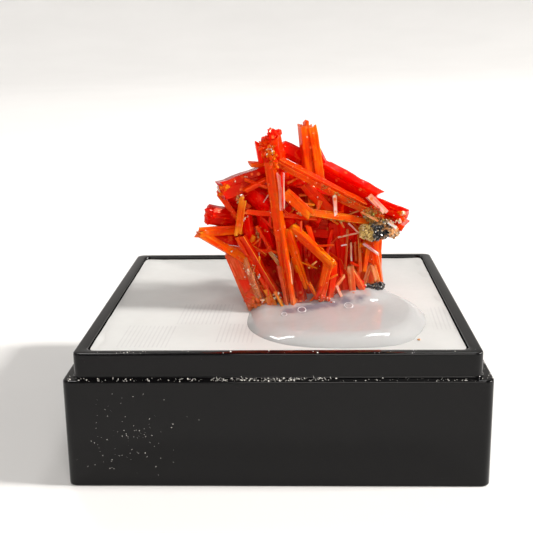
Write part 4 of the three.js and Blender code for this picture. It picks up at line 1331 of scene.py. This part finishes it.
# %% Outline and height of the glue
GLUE_CENTRE = Vector((5, -4))  # mm
GLUE_OUTLINE = [
    # mm across and back
    (-2.65, -6.85), (-2.3, -9.1), (-1.3, -11.0), (0.1, -12.35), (1.75, -13.1), (3.8, -13.45), (5.8, -13.45),
    (7.7, -13.2), (9.4, -12.6), (10.95, -10.8), (11.75, -8.7), (12.15, -6.8), (12.15, -4.6), (11.6, -2.4),
    (10.5, -0.6), (9.0, 2.0), (6.6, 4.4), (3, 5.2), (-0.6, 4.4), (-2.2, 1.6), (-2.5, -2.8),
]
GLUE_THIN, GLUE_THICK = 0.55, 0.75  # mm, at the left and from the middle to the right
GLUE_SLOPE = (-2, 5)  # mm across, where it thickens
GLUE_MOUND = 0.7  # mm that the mound adds
GLUE_MOUND_AT, GLUE_MOUND_REACH = (7.0, -1.6), 2.4  # mm
GLUE_SHOULDER = 0.21  # width of the round shoulder, as a share of the way in
WETTING, WETTING_REACH = 0.22, 0.55  # mm, up and around each crystal's foot
FOOT_LEVEL = 1.7  # mm over the ledge: a crystal that starts lower stands in the glue
feet = []
for start, end, *_ in CRYSTALS.values():
    lower = min(start, end, key=lambda spot: spot[1])
    if lower[1] < FOOT_LEVEL:
        feet.append(seen_at(*lower))


def smooth_loop(points, steps):
    """A closed curve through the points, by Catmull and Rom's formula."""
    points = [Vector(p) for p in points]
    count = len(points)
    curve = []
    for i in range(count):
        before, start, end, after = (points[(i + k) % count] for k in (-1, 0, 1, 2))
        for step in range(steps):
            t = step / steps
            bend = start * 2 + (end - before) * t + (before * 2 - start * 5 + end * 4 - after) * t ** 2
            curve.append((bend + (start * 3 - before - end * 3 + after) * t ** 3) / 2)
    return curve


def smooth_step(value, low, high):
    """From 0 at low to 1 at high, with a soft start and a soft end."""
    t = min(1, max(0, (value - low) / (high - low)))
    return t * t * (3 - 2 * t)


def glue_height(x, y, share):
    """Height over the insert, at a place and at a share of the way from the middle to the edge."""
    pad = GLUE_THIN + (GLUE_THICK - GLUE_THIN) * smooth_step(x, *GLUE_SLOPE)
    across = (x - GLUE_MOUND_AT[0]) / GLUE_MOUND_REACH
    along = (y - GLUE_MOUND_AT[1]) / GLUE_MOUND_REACH
    mound = GLUE_MOUND * math.exp(-((across * across + along * along) ** 2))
    ripple = 0.03 * noise.noise(Vector((x * 0.45, y * 0.45, 1)))
    ripple += 0.008 * noise.noise(Vector((x, y, 4)) * 1.7)
    wet = sum(math.exp(-((x - foot.x) ** 2 + (y - foot.y) ** 2) / WETTING_REACH ** 2) for foot in feet)
    shoulder = max(0, (share - 1 + GLUE_SHOULDER) / GLUE_SHOULDER)
    return (pad + mound + ripple + WETTING * min(1, wet)) * max(0, 1 - shoulder ** 2)


print(len(feet), "crystals stand in the glue")

# %% [markdown]
# Air bubbles lie under the skin of the glue, most of them where it closed round the crystals. A bubble is a
# small sphere whose faces look inwards, to the air: the renderer then bends light at it as real glue does.
# Four bubbles burst while the glue set, and each left a crater with a raised ring. The ring is a tube bent
# round, tilted to the slope of the glue, and thicker in front, where it ran down.

# %% Bubbles in the glue
AIR_BUBBLES = [
    # place across and back, depth of the middle under the surface, radius, all in mm
    (1.9, -6.1, 0.3, 0.22), (5.8, -5.2, 0.32, 0.22), (4.6, -3.9, 0.2, 0.13), (3.1, -4.6, 0.16, 0.1),
    (8.1, -4.9, 0.15, 0.09), (5.4, -5.3, 0.14, 0.07), (2.6, -6.3, 0.12, 0.06), (9.6, -3.4, 0.15, 0.08),
    (7.3, -6.4, 0.1, 0.05),
]
BURST_BUBBLES = [
    # place across and back, radius of the ring, thickness of the ring, all in mm
    (1.9, -6.1, 0.33, 0.15), (5.8, -5.2, 0.35, 0.15), (0.45, -7.0, 0.22, 0.12), (4.62, -4.0, 0.07, 0.14),
]
RING_STEPS, TUBE_STEPS = 32, 10
RING_TILT = math.radians(28)  # the craters lie on the slope that faces the front
RING_THINNEST = 0.3  # thickness at the back, as a share of that at the front
RING_LIFT = 0.6  # how far it is lifted, as a share of how deep its front would dip


def crater_ring(built, x, y, radius, thick):
    """Adds a raised ring to the glue."""
    lift = radius * math.sin(RING_TILT) * RING_LIFT
    middle = Vector((x, y, INSERT_TOP + glue_height(x, y, 0) + lift))
    tilt = Matrix.Rotation(RING_TILT, 3, "X")
    loops = []
    for i in range(RING_STEPS):
        turn = 2 * math.pi * i / RING_STEPS
        outwards = Vector((math.cos(turn), math.sin(turn), 0))
        half = thick / 2 * (RING_THINNEST + (1 - RING_THINNEST) * (1 - math.sin(turn)) / 2)
        loop = []
        for k in range(TUBE_STEPS):
            roll = 2 * math.pi * k / TUBE_STEPS
            spot = outwards * (radius + half * math.cos(roll)) + Vector((0, 0, half * math.sin(roll)))
            loop.append(built.verts.new(middle + tilt @ spot))
        loops.append(loop)
    for i, loop in enumerate(loops):
        for k in range(TUBE_STEPS):
            face = built.faces.new((loops[i - 1][k - 1], loop[k - 1], loop[k], loops[i - 1][k]))
            face.material_index = 1


# %% [markdown]
# The puddle itself is rings again: the outline on the insert, then the same outline drawn in step by step
# towards the middle, each point at the height of the formula. The rings are closer together near the edge,
# where the shoulder bends most.

# %% Shape of the glue
GLUE_RINGS = 70
STEPS_PER_POINT = 10
INNERMOST = 0.01  # size of the last ring, as a share of the outline


def glue_shape():
    """The puddle with its craters and its bubbles."""
    edge = smooth_loop(GLUE_OUTLINE, STEPS_PER_POINT)
    rings = []
    for ring in range(GLUE_RINGS + 1):
        share = math.sin(math.pi / 2 * (1 - ring / GLUE_RINGS))
        spots = [GLUE_CENTRE.lerp(spot, max(share, INNERMOST)) for spot in edge]
        rings.append([Vector((x, y, INSERT_TOP + glue_height(x, y, share))) for x, y in spots])
    puddle = skin_of_rings([[Vector((x, y, INSERT_TOP)) for x, y in edge]] + rings)
    bmesh.ops.remove_doubles(puddle, verts=puddle.verts, dist=HAIRLINE)
    for row in BURST_BUBBLES:
        crater_ring(puddle, *row)
    bmesh.ops.recalc_face_normals(puddle, faces=puddle.faces)
    for x, y, deep, radius in AIR_BUBBLES:
        place = Matrix.Translation((x, y, INSERT_TOP + glue_height(x, y, 0) - deep))
        made = bmesh.ops.create_icosphere(puddle, subdivisions=3, radius=radius, matrix=place)
        bmesh.ops.reverse_faces(puddle, faces=list(faces_of(made)))
    mesh = bpy.data.meshes.new("glue")
    puddle.to_mesh(mesh)
    puddle.free()
    return mesh


# %% [markdown]
# The glue lets light through but isn't clear: it has a milky body that hides the print under it. Much of
# its finish is transmission, with the glue's own refraction, and the rest is scattering just under the
# surface. A wet gloss with a few soft dents on top gives it long white reflections. Round the dark feet that
# stand in it, the glue is painted bluish grey: a painted shade for the feet seen through it. A ragged ball
# of this painted shade lies round each: the distance to its middle, measured from a place that noise has
# moved.

# %% Painted shade round the feet
FEET_SHADE_SPOTS = [
    # middle across and back, and reach, in mm
    (0.9, -5.9, 1.0), (1.9, -5.6, 1.15), (2.7, -5.2, 1.15), (3.5, -4.8, 1.1), (4.4, -4.4, 1.0),
    (5.6, -4.0, 0.85), (6.8, -3.8, 0.8),
]
FEET_SHADE_TOP = 1.2  # mm over the insert, for the middles
FEET_SHADE_CORE = 0.35  # where it is full, as a share of its reach
NOISE_MIDDLE = 0.5  # mm, what the noise adds on average


def painted_feet_shade(finish, where):
    """How strong the painted shade round the feet is at a place."""
    ragged = finish.add("TexNoise", {"Vector": where, "Scale": 1.6}).outputs["Color"]
    wander = finish.add("VectorMath", {0: ragged, 1: where}, operation="ADD").outputs[0]
    haze = 0
    for x, y, reach in FEET_SHADE_SPOTS:
        middle = (x + NOISE_MIDDLE, y + NOISE_MIDDLE, INSERT_TOP + FEET_SHADE_TOP)
        far = finish.add("VectorMath", {0: wander, 1: middle}, operation="DISTANCE").outputs["Value"]
        haze = finish.maths("MAXIMUM", haze, finish.ramp(far, reach, reach * FEET_SHADE_CORE))
    return haze


# %% Finish of the glue
MILK_GREY, MILK_WHITE = (0.88, 0.876, 0.882, 1), (0.94, 0.932, 0.927, 1)
# painted shade: a bluish grey round the feet, for the dark feet seen through the glue
PAINTED_SHADE_BLUE = (0.3, 0.3, 0.42, 1)
GLUE_BENDING = 1.48  # refraction index


def glue_finish():
    finish = Finish("milky_glue")
    where = finish.where()
    cloud = finish.ramp(finish.noise(where, 0.35, 3), 0.3, 0.75)
    body = finish.mix(cloud, MILK_GREY, MILK_WHITE)
    finish.set(
        Base_Color=finish.mix(finish.times(painted_feet_shade(finish, where), 0.75), body, PAINTED_SHADE_BLUE),
        Roughness=finish.between(finish.noise(where, 0.8), 0.02, 0.08),
        IOR=GLUE_BENDING,
        Transmission_Weight=0.68,
        Subsurface_Weight=0.6,
        Subsurface_Radius=(1, 0.95, 0.95),
        Subsurface_Scale=0.5 * MM,
    )
    finish.bump(finish.noise(where, 1.1, 3), 0.16, 0.06)
    return finish.material


# %% [markdown]
# The raised rings let little light through, and are painted greyer than the rest of the glue, a painted shade
# for the dark line that bent light draws at a real rim. Without a finish of their own they would not show.

# %% Finish of the craters
CRATER_SHADE_DARK, CRATER_SHADE_PALE = (0.5, 0.47, 0.49, 1), (0.68, 0.65, 0.65, 1)


def crater_finish():
    finish = Finish("crater_glue")
    tone = finish.noise(finish.where(), 3)
    finish.set(
        Base_Color=finish.mix(tone, CRATER_SHADE_DARK, CRATER_SHADE_PALE),
        Roughness=finish.between(tone, 0.03, 0.15),
        IOR=GLUE_BENDING,
        Transmission_Weight=0.15,
    )
    return finish.material


glue_finishes = [glue_finish(), crater_finish()]
glue = dress("milky_glue", glue_shape(), glue_finishes, "glue_pad", smooth_angle=60)

# %% [markdown]
# ## The gossan
# Gossan is the rusty, porous crust that crocoite grows in. A lump of it has no faces at all, so it is built
# like clay: balls pressed together, melted into one skin by the voxel remesh, and then pushed in and out by
# noise. Round pits show where a grain has fallen out. Tiny grains are set into it afterwards, black ones
# with a bright gloss and pale ones: small cubes, each on a corner of the skin.

# %% Lumps of gossan
KNOB_BALLS = [
    # middle (across, up, depth), half sizes (across, back, up)
    ((7.6, 7.65, -2.6), (0.8, 0.8, 0.7)),
    ((8.6, 7.7, -2.7), (0.85, 0.8, 0.8)),
    ((9.55, 7.85, -2.4), (0.85, 0.8, 0.75)),
    ((8.3, 7.35, -2.3), (0.9, 0.9, 0.55)),
    ((9.9, 7.7, -1.7), (0.7, 0.8, 0.65)),
    ((7.6, 9.2, -2.35), (0.5, 0.5, 0.5)),
    ((8.1, 8.8, -2.4), (0.6, 0.5, 0.4)),
    ((8.9, 8.5, -2.6), (0.6, 0.5, 0.35)),
    ((9.0, 7.4, -2.4), (0.6, 0.6, 0.5)),
]
FOOT_BALLS = [
    # the same
    ((7.85, 2.55, -2.0), (0.5, 0.5, 0.42)),
    ((8.4, 2.6, -1.9), (0.55, 0.5, 0.45)),
    ((8.95, 2.75, -1.6), (0.4, 0.45, 0.38)),
]
KNOB_PITS = [
    # middle, depth in mm
    ((7.4, 7.2, -3.3), 0.22), ((9.2, 7.45, -3.3), 0.16), ((8.15, 8.1, -3.4), 0.14),
]
PIT_REACH = 1.6  # how far a pit reaches, as a share of its depth
BALL_RADIUS = 0.96  # as a share of the half sizes
SETTLED = 0.35  # what is taken off the noise, so that it digs more than it heaps


def melted(name, balls, voxel):
    """The balls as one skin, with its points a voxel apart, in mm."""
    built = bmesh.new()
    for middle, (rx, ry, rz) in balls:
        place = Matrix.Translation(seen_at(*middle)) @ Matrix.Diagonal((rx, ry, rz, 1))
        bmesh.ops.create_icosphere(built, subdivisions=4, radius=BALL_RADIUS, matrix=place)
    clay = bpy.data.objects.new("clay", mesh_from(built, name))
    bpy.context.scene.collection.objects.link(clay)
    melt = clay.modifiers.new("melt", "REMESH")
    melt.mode = "VOXEL"
    melt.voxel_size = voxel
    graph = bpy.context.evaluated_depsgraph_get()
    skin = bpy.data.meshes.new_from_object(clay.evaluated_get(graph), depsgraph=graph)
    bpy.data.objects.remove(clay)
    return skin


def weather(built, rough, pits):
    """Pushes the skin in and out by noise, and presses the pits into it."""
    shifts = []
    for corner in built.verts:
        p = corner.co
        knock = 0.6 * noise.fractal(p * 2.2, 0.6, 2.0, 4) + 0.4 * noise.noise(p * 7)
        depth = 0
        for pit, radius in pits:
            away = (p - seen_at(*pit)).length / (radius * PIT_REACH)
            depth = max(depth, radius * max(0, 1 - away ** 2))
        shifts.append(corner.normal * (rough * (knock - SETTLED) - depth))
    for corner, shift in zip(built.verts, shifts):
        corner.co += shift


def set_grains(built, grains, dice):
    """Sets small cubes on corners of the skin, each kind with its own finish."""
    spots = [corner.co.copy() for corner in built.verts]
    for kind, count, smallest, largest, left, right in grains:
        near = [spot for spot in spots if left < spot.x < right]
        for _ in range(count):
            size = dice.uniform(smallest, largest)
            turn = any_turn(3, dice)
            place = Matrix.Translation(dice.choice(near)) @ turn
            made = bmesh.ops.create_cube(built, size=size, matrix=place)
            for face in faces_of(made):
                face.material_index = kind


def lump(name, balls, voxel, rough, pits, grains):
    """One lump of gossan; rough is how deep the noise goes in mm."""
    built = bmesh.new()
    built.from_mesh(melted(name, balls, voxel))
    built.normal_update()
    weather(built, rough, pits)
    set_grains(built, grains, random.Random(len(name)))
    return mesh_from(built, name)


# %% [markdown]
# The crust is black in a band and ochre to rusty beside it; over the knob lies a browner crust. Painted
# corners would give soft borders; here they are crisp and wander, because noise is added to the place
# before it is compared. A cell pattern gives paler and darker grains, and a fine grit pores and relief.

# %% Finish of the gossan
UPPER_CRUST = (BLOCK_HEIGHT + 8.9, BLOCK_HEIGHT + 9.15)  # mm, where the brown crust over the knob begins
BORDER = 0.25  # mm over which black gives way to the colours beside it
PALE_CELLS, DARK_CELLS = (1.5, 1.7, 2.4, 1), (0.5, 0.42, 0.35, 1)  # factors on the colour
PORE_BROWN = (0.1, 0.05, 0.015, 1)


def gossan_finish(name, left, right, black, black_from, black_to, upper=None):
    """Crust that is black between two places across, in mm, and has other colours beside and above that."""
    finish = Finish(name)
    where = finish.where()
    grit = finish.noise(where, 6, 5, 0.75)
    place = finish.add("SeparateXYZ", {0: where})
    wander = finish.between(finish.noise(where, 1.1, 4, 0.7), -1.4, 1.4)
    across = finish.maths("ADD", place.outputs["X"], wander)
    high = 0
    if upper:
        up = finish.maths("MULTIPLY_ADD", wander, 0.25, place.outputs["Z"])
        high = finish.ramp(up, *UPPER_CRUST)
    colour = finish.mix(finish.ramp(across, black_from, black_to), left, right)
    colour = finish.mix(high, colour, upper or right)
    cells = finish.add("TexVoronoi", {"Vector": where, "Scale": 6.5}).outputs["Color"]
    cells = finish.add("SeparateColor", {0: cells}).outputs[0]
    colour = finish.mix(finish.ramp(cells, 0.6, 0.8), colour, finish.tinted(colour, PALE_CELLS))
    colour = finish.mix(finish.ramp(cells, 0.35, 0.15), colour, finish.tinted(colour, DARK_CELLS))
    colour = finish.mix(finish.ramp(grit, 0.46, 0.34), colour, PORE_BROWN)
    before = finish.ramp(across, black_from, black_from - BORDER)
    behind = finish.ramp(across, black_to, black_to + BORDER)
    outside = finish.maths("MAXIMUM", finish.maths("ADD", before, behind), high)
    finish.set(
        Base_Color=finish.mix(outside, black, colour),
        Roughness=finish.between(outside, 0.25, 0.85),
    )
    finish.bump(grit, 0.8, 0.08)
    return finish.material


# %% [markdown]
# Two colours and a gloss are enough for the grains. The black ones bend light like a gem, so they sparkle.

# %% Finishes of the grains


def two_tone_finish(name, dark, pale, scale, **gloss):
    """A plain finish that wanders between two colours."""
    finish = Finish(name)
    tone = finish.noise(finish.where(), scale)
    finish.set(Base_Color=finish.mix(tone, dark, pale), **gloss)
    return finish.material


SPARKLE_TONES = ((0.01, 0.01, 0.012, 1), (0.1, 0.09, 0.08, 1))
GRAIN_TONES = ((0.35, 0.2, 0.08, 1), (0.85, 0.7, 0.5, 1))
sparkles = two_tone_finish("black_sparkles", *SPARKLE_TONES, 3, Roughness=0.08, IOR=2.2)
pale_grains = two_tone_finish("pale_grains", *GRAIN_TONES, 2.5, Roughness=0.25, IOR=1.7)
print("made", sparkles.name, "and", pale_grains.name)

# %% [markdown]
# There are two lumps: the knob at the right of the cluster, and the small black one under its right foot.

# %% The two lumps with their grains
SPARKLE, PALE = 1, 2  # the second and the third finish of a lump
KNOB_GRAINS = [
    # finish, how many, smallest and largest in mm, from and to across in mm
    (SPARKLE, 130, 0.06, 0.15, 7.9, 9.3),
    (SPARKLE, 60, 0.05, 0.14, 9.0, 10.5),
    (SPARKLE, 16, 0.05, 0.12, 6.8, 8.0),
    (PALE, 34, 0.05, 0.12, 7.9, 9.0),
    (PALE, 170, 0.05, 0.15, 8.9, 10.6),
    (PALE, 60, 0.04, 0.12, 6.8, 8.0),
]
FOOT_GRAINS = [(SPARKLE, 90, 0.07, 0.18, 7, 10), (PALE, 5, 0.04, 0.08, 7, 10)]
OCHRE, RUST, BROWN = (0.52, 0.34, 0.09, 1), (0.62, 0.27, 0.08, 1), (0.34, 0.14, 0.015, 1)
KNOB_BLACK, KNOB_BAND = (0.01, 0.009, 0.01, 1), (8.0, 8.9)  # its colour, and its place in mm across
FOOT_LEFT, FOOT_RIGHT = (0.02, 0.018, 0.02, 1), (0.03, 0.022, 0.02, 1)
FOOT_BLACK, FOOT_BAND = (0.006, 0.006, 0.008, 1), (6.9, 9.2)
knob_finish = gossan_finish("knob_gossan", OCHRE, RUST, KNOB_BLACK, *KNOB_BAND, BROWN)
foot_finish = gossan_finish("foot_gossan", FOOT_LEFT, FOOT_RIGHT, FOOT_BLACK, *FOOT_BAND)
KNOB_VOXEL, KNOB_ROUGH = 0.06, 0.3  # mm
FOOT_VOXEL, FOOT_ROUGH = 0.045, 0.2  # mm
knob = lump("knob", KNOB_BALLS, KNOB_VOXEL, KNOB_ROUGH, KNOB_PITS, KNOB_GRAINS)
foot = lump("foot", FOOT_BALLS, FOOT_VOXEL, FOOT_ROUGH, [], FOOT_GRAINS)
dress("gossan_knob_crust", knob, [knob_finish, sparkles, pale_grains], "gossan_knob")
dress("gossan_foot_crust", foot, [foot_finish, sparkles, pale_grains], "gossan_foot")

# %% [markdown]
# ## Seating the loose crystals
# Nothing floats in a real specimen. Most needles and grains have grown into their neighbours, and the union
# has made them one, but a few fine ones still stand a hair off what carries them. Each of these is pushed
# away along the line of sight until it touches, so it keeps its place in the view. Where nothing is close
# behind it, it goes to the nearest surface. This could be done by hand in the tables, but measuring is
# surer. The pieces are dressed by now, so lengths are in metres here.

# %% Find the loose shells and what carries them
TOUCH = 0.02 * MM  # a smaller gap counts as touching; a pushed crystal bites in by as much
LONGEST_PUSH = 0.4 * MM  # along the line of sight


def shells_of(mesh):
    """The corner numbers of each shell that hangs together, the largest shell first."""
    beside = [[] for _ in mesh.vertices]
    for edge in mesh.edges:
        one, other = edge.vertices
        beside[one].append(other)
        beside[other].append(one)
    shells, seen = [], set()
    for seed in range(len(beside)):
        if seed in seen:
            continue
        seen.add(seed)
        shell = [seed]
        for corner in shell:  # the list grows while it is walked
            fresh = [near for near in beside[corner] if near not in seen]
            seen.update(fresh)
            shell += fresh
        shells.append(shell)
    return sorted(shells, key=len, reverse=True)


def carriers(seated, others):
    """A search tree of the seated crystals and of the pieces round them."""
    places = [corner.co.copy() for corner in cluster_mesh.vertices]
    faces = [face.vertices[:] for face in cluster_mesh.polygons if face.vertices[0] in seated]
    for mesh in others:
        first = len(places)
        places += [corner.co.copy() for corner in mesh.vertices]
        faces += [[first + corner for corner in face.vertices] for face in mesh.polygons]
    return BVHTree.FromPolygons(places, faces)


def push_for(corners, tree):
    """The way that a shell has to go until it touches."""
    found = [(*tree.find_nearest(corner), corner) for corner in corners]
    near, _, _, gap, corner = min(found, key=lambda one: one[3])
    if gap < TOUCH:
        return Vector()
    sight = (corner - VIEWING_POINT * MM).normalized()
    behind = [tree.ray_cast(corner, sight, LONGEST_PUSH)[3] for corner in corners]
    behind = [distance for distance in behind if distance is not None]
    return sight * (min(behind) + TOUCH) if behind else (near - corner) * (1 + TOUCH / gap)


# %% [markdown]
# Not every loose shell is a crystal. The union also leaves crumbs where two surfaces just graze each other,
# and hollows sealed inside the heap, which nobody can see. A hollow gives itself away by its volume: its
# faces look inwards, so their sum comes out negative. Crumbs and hollows are swept away in the end.

# %% Sort the loose shells
CRUMB = 0.06 * MM  # a loose shell that is smaller than this is swept away
mass, *loose = shells_of(cluster_mesh)
of_shell = {corner: index for index, shell in enumerate(loose) for corner in shell}
volumes = [0.0] * len(loose)
for face in cluster_mesh.polygons:
    if face.vertices[0] in of_shell:
        a, *rest = (cluster_mesh.vertices[corner].co for corner in face.vertices)
        volumes[of_shell[face.vertices[0]]] += sum(a.dot(b.cross(c)) for b, c in zip(rest, rest[1:]))


def reach_of(shell):
    """The longest side of the box round a shell."""
    corners = [cluster_mesh.vertices[corner].co for corner in shell]
    return max(max(axis) - min(axis) for axis in zip(*corners))


solid_ones, swept = [], []
for shell, volume in zip(loose, volumes):
    whole = volume > 0 and reach_of(shell) > CRUMB
    (solid_ones if whole else swept).append(shell)
print(len(solid_ones), "loose crystals, and", len(swept), "crumbs and sealed hollows")

# %% [markdown]
# Needles settle first, because grains may lie on them.

# %% Push the loose ones until they touch
NEEDLE_CORNERS = 40  # a loose shell with more corners is a needle, another one is a grain
needles = [shell for shell in solid_ones if len(shell) > NEEDLE_CORNERS]
grains = [shell for shell in solid_ones if len(shell) <= NEEDLE_CORNERS]
seated, pushes = set(mass), []
for batch in (needles, grains):
    tree = carriers(seated, [glue.data, knob, foot])
    for shell in batch:
        corners = [cluster_mesh.vertices[corner] for corner in shell]
        push = push_for([corner.co for corner in corners], tree)
        for corner in corners:
            corner.co += push
        pushes.append(push.length / MM)
        seated.update(shell)
print(sum(1 for push in pushes if push), "pushed, by", round(max(pushes), 2), "mm at most")

# %% Sweep the crumbs and the hollows away
clean = bmesh.new()
clean.from_mesh(cluster_mesh)
clean.verts.ensure_lookup_table()
crumbs = [clean.verts[corner] for shell in swept for corner in shell]
bmesh.ops.delete(clean, geom=crumbs, context="VERTS")
clean.to_mesh(cluster_mesh)
clean.free()
print("cluster ends with", len(cluster_mesh.polygons), "faces")

# %% [markdown]
# ## Dust
# Black boxes show every speck. Dust lies along the ledge in front of the collar, in small heaps, and a
# patch of it clings to the front. The specks are one joined mesh of tiny irregular chips and short bits of
# lint; a bit of lint is a chip drawn out long. One crumb of brown gossan has dropped on the insert.

# %% Dust on the box
DUST_BANDS = [
    # how many, across from and to, back from and to, height; all in mm
    (150, (-15.6, 15.6), (-15.95, -15.35), BLOCK_HEIGHT),
    (90, (-4.0, 3.0), (-15.95, -15.3), BLOCK_HEIGHT),
    (40, (-15.2, 15.2), (-15.2, -14.4), RIM),
    (120, (15.3, 15.9), (-15.6, 15.6), BLOCK_HEIGHT),
    (60, (-15.9, -15.3), (-15.6, 15.6), BLOCK_HEIGHT),
    (60, (-15.6, 15.6), (15.3, 15.9), BLOCK_HEIGHT),
]
DUST_SEED = 77
DUST_SIZE, DUST_FACTORS = (0.03, 0.11), (0.6, 0.8, 1, 1.5)  # mm, and what it is multiplied with
CHIPPED = 0.12  # most that a corner strays, as a share of the chip's size
FRONT_SPECKS, FRONT_SIZE = 95, (0.03, 0.09)  # how many, and mm
FRONT_MIDDLE, FRONT_SPREAD = (-11.5, 3.6), (2.2, 1.7)  # mm, across and up
FRONT_EDGE = 0.5  # mm kept free along the edges of the front
LINT_BITS, LINT_WIDTH, LINT_STRETCH = 26, 0.05, (5, 12)  # how many, mm, and length over width
LINT_ACROSS, LINT_BACK, LINT_LIFT = (-13, 4), (-15.8, -15.4), 0.05  # mm
CRUMB_AT, CRUMB_LIFT, CRUMB_SIZE = (10.9, -11.6), 0.06, 0.24  # mm, beside the glue


def dust_chip(built, dice, spot, size, stretch=1.0):
    """Adds one irregular chip, and gives back its faces."""
    turn = any_turn(3, dice)
    wide, thick = size * dice.uniform(0.5, 1), size * dice.uniform(0.3, 0.7)
    place = Matrix.Translation(spot) @ turn @ Matrix.Diagonal((size * stretch, wide, thick, 1))
    made = bmesh.ops.create_icosphere(built, subdivisions=1, radius=0.5, matrix=place)
    for corner in made["verts"]:
        corner.co += Vector(dice.uniform(-CHIPPED, CHIPPED) * size for _ in range(3))
    return faces_of(made)


def dust_shape():
    """Specks in bands, a patch on the front, lint on the ledge and one brown crumb."""
    dice = random.Random(DUST_SEED)
    built = bmesh.new()
    for count, across, back, height in DUST_BANDS:
        for _ in range(count):
            size = dice.uniform(*DUST_SIZE) * dice.choice(DUST_FACTORS)
            spot = Vector((dice.uniform(*across), dice.uniform(*back), height + size * 0.2))
            dust_chip(built, dice, spot, size)
    for _ in range(FRONT_SPECKS):
        across, up = (middle + dice.gauss(0, spread) for middle, spread in zip(FRONT_MIDDLE, FRONT_SPREAD))
        if abs(across) < BOX_HALF - FRONT_EDGE and FRONT_EDGE < up < BLOCK_HEIGHT - FRONT_EDGE:
            dust_chip(built, dice, Vector((across, -BOX_HALF, up)), dice.uniform(*FRONT_SIZE))
    for _ in range(LINT_BITS):
        spot = Vector((dice.uniform(*LINT_ACROSS), dice.uniform(*LINT_BACK), BLOCK_HEIGHT + LINT_LIFT))
        dust_chip(built, dice, spot, LINT_WIDTH, dice.uniform(*LINT_STRETCH))
    crumb = dust_chip(built, dice, Vector((*CRUMB_AT, INSERT_TOP + CRUMB_LIFT)), CRUMB_SIZE)
    for face in crumb:
        face.material_index = 1
    return mesh_from(built, "dust")


DUST_TONES = ((0.5, 0.47, 0.42, 1), (0.85, 0.84, 0.8, 1))
dust_finish = two_tone_finish("grey_dust", *DUST_TONES, 1.5, Roughness=0.9)
dress("dust_on_box", dust_shape(), [dust_finish, knob_finish])

# %% [markdown]
# ## Size
# The box round the dressed part is printed beside the CAD's box.

# %% Print the two boxes
visual_size = [list(corner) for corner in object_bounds()]
for label, (low, high) in (("CAD", cad_size), ("visual", visual_size)):
    print(label, "box:", [round((b - a) / MM, 2) for a, b in zip(low, high)], "mm")
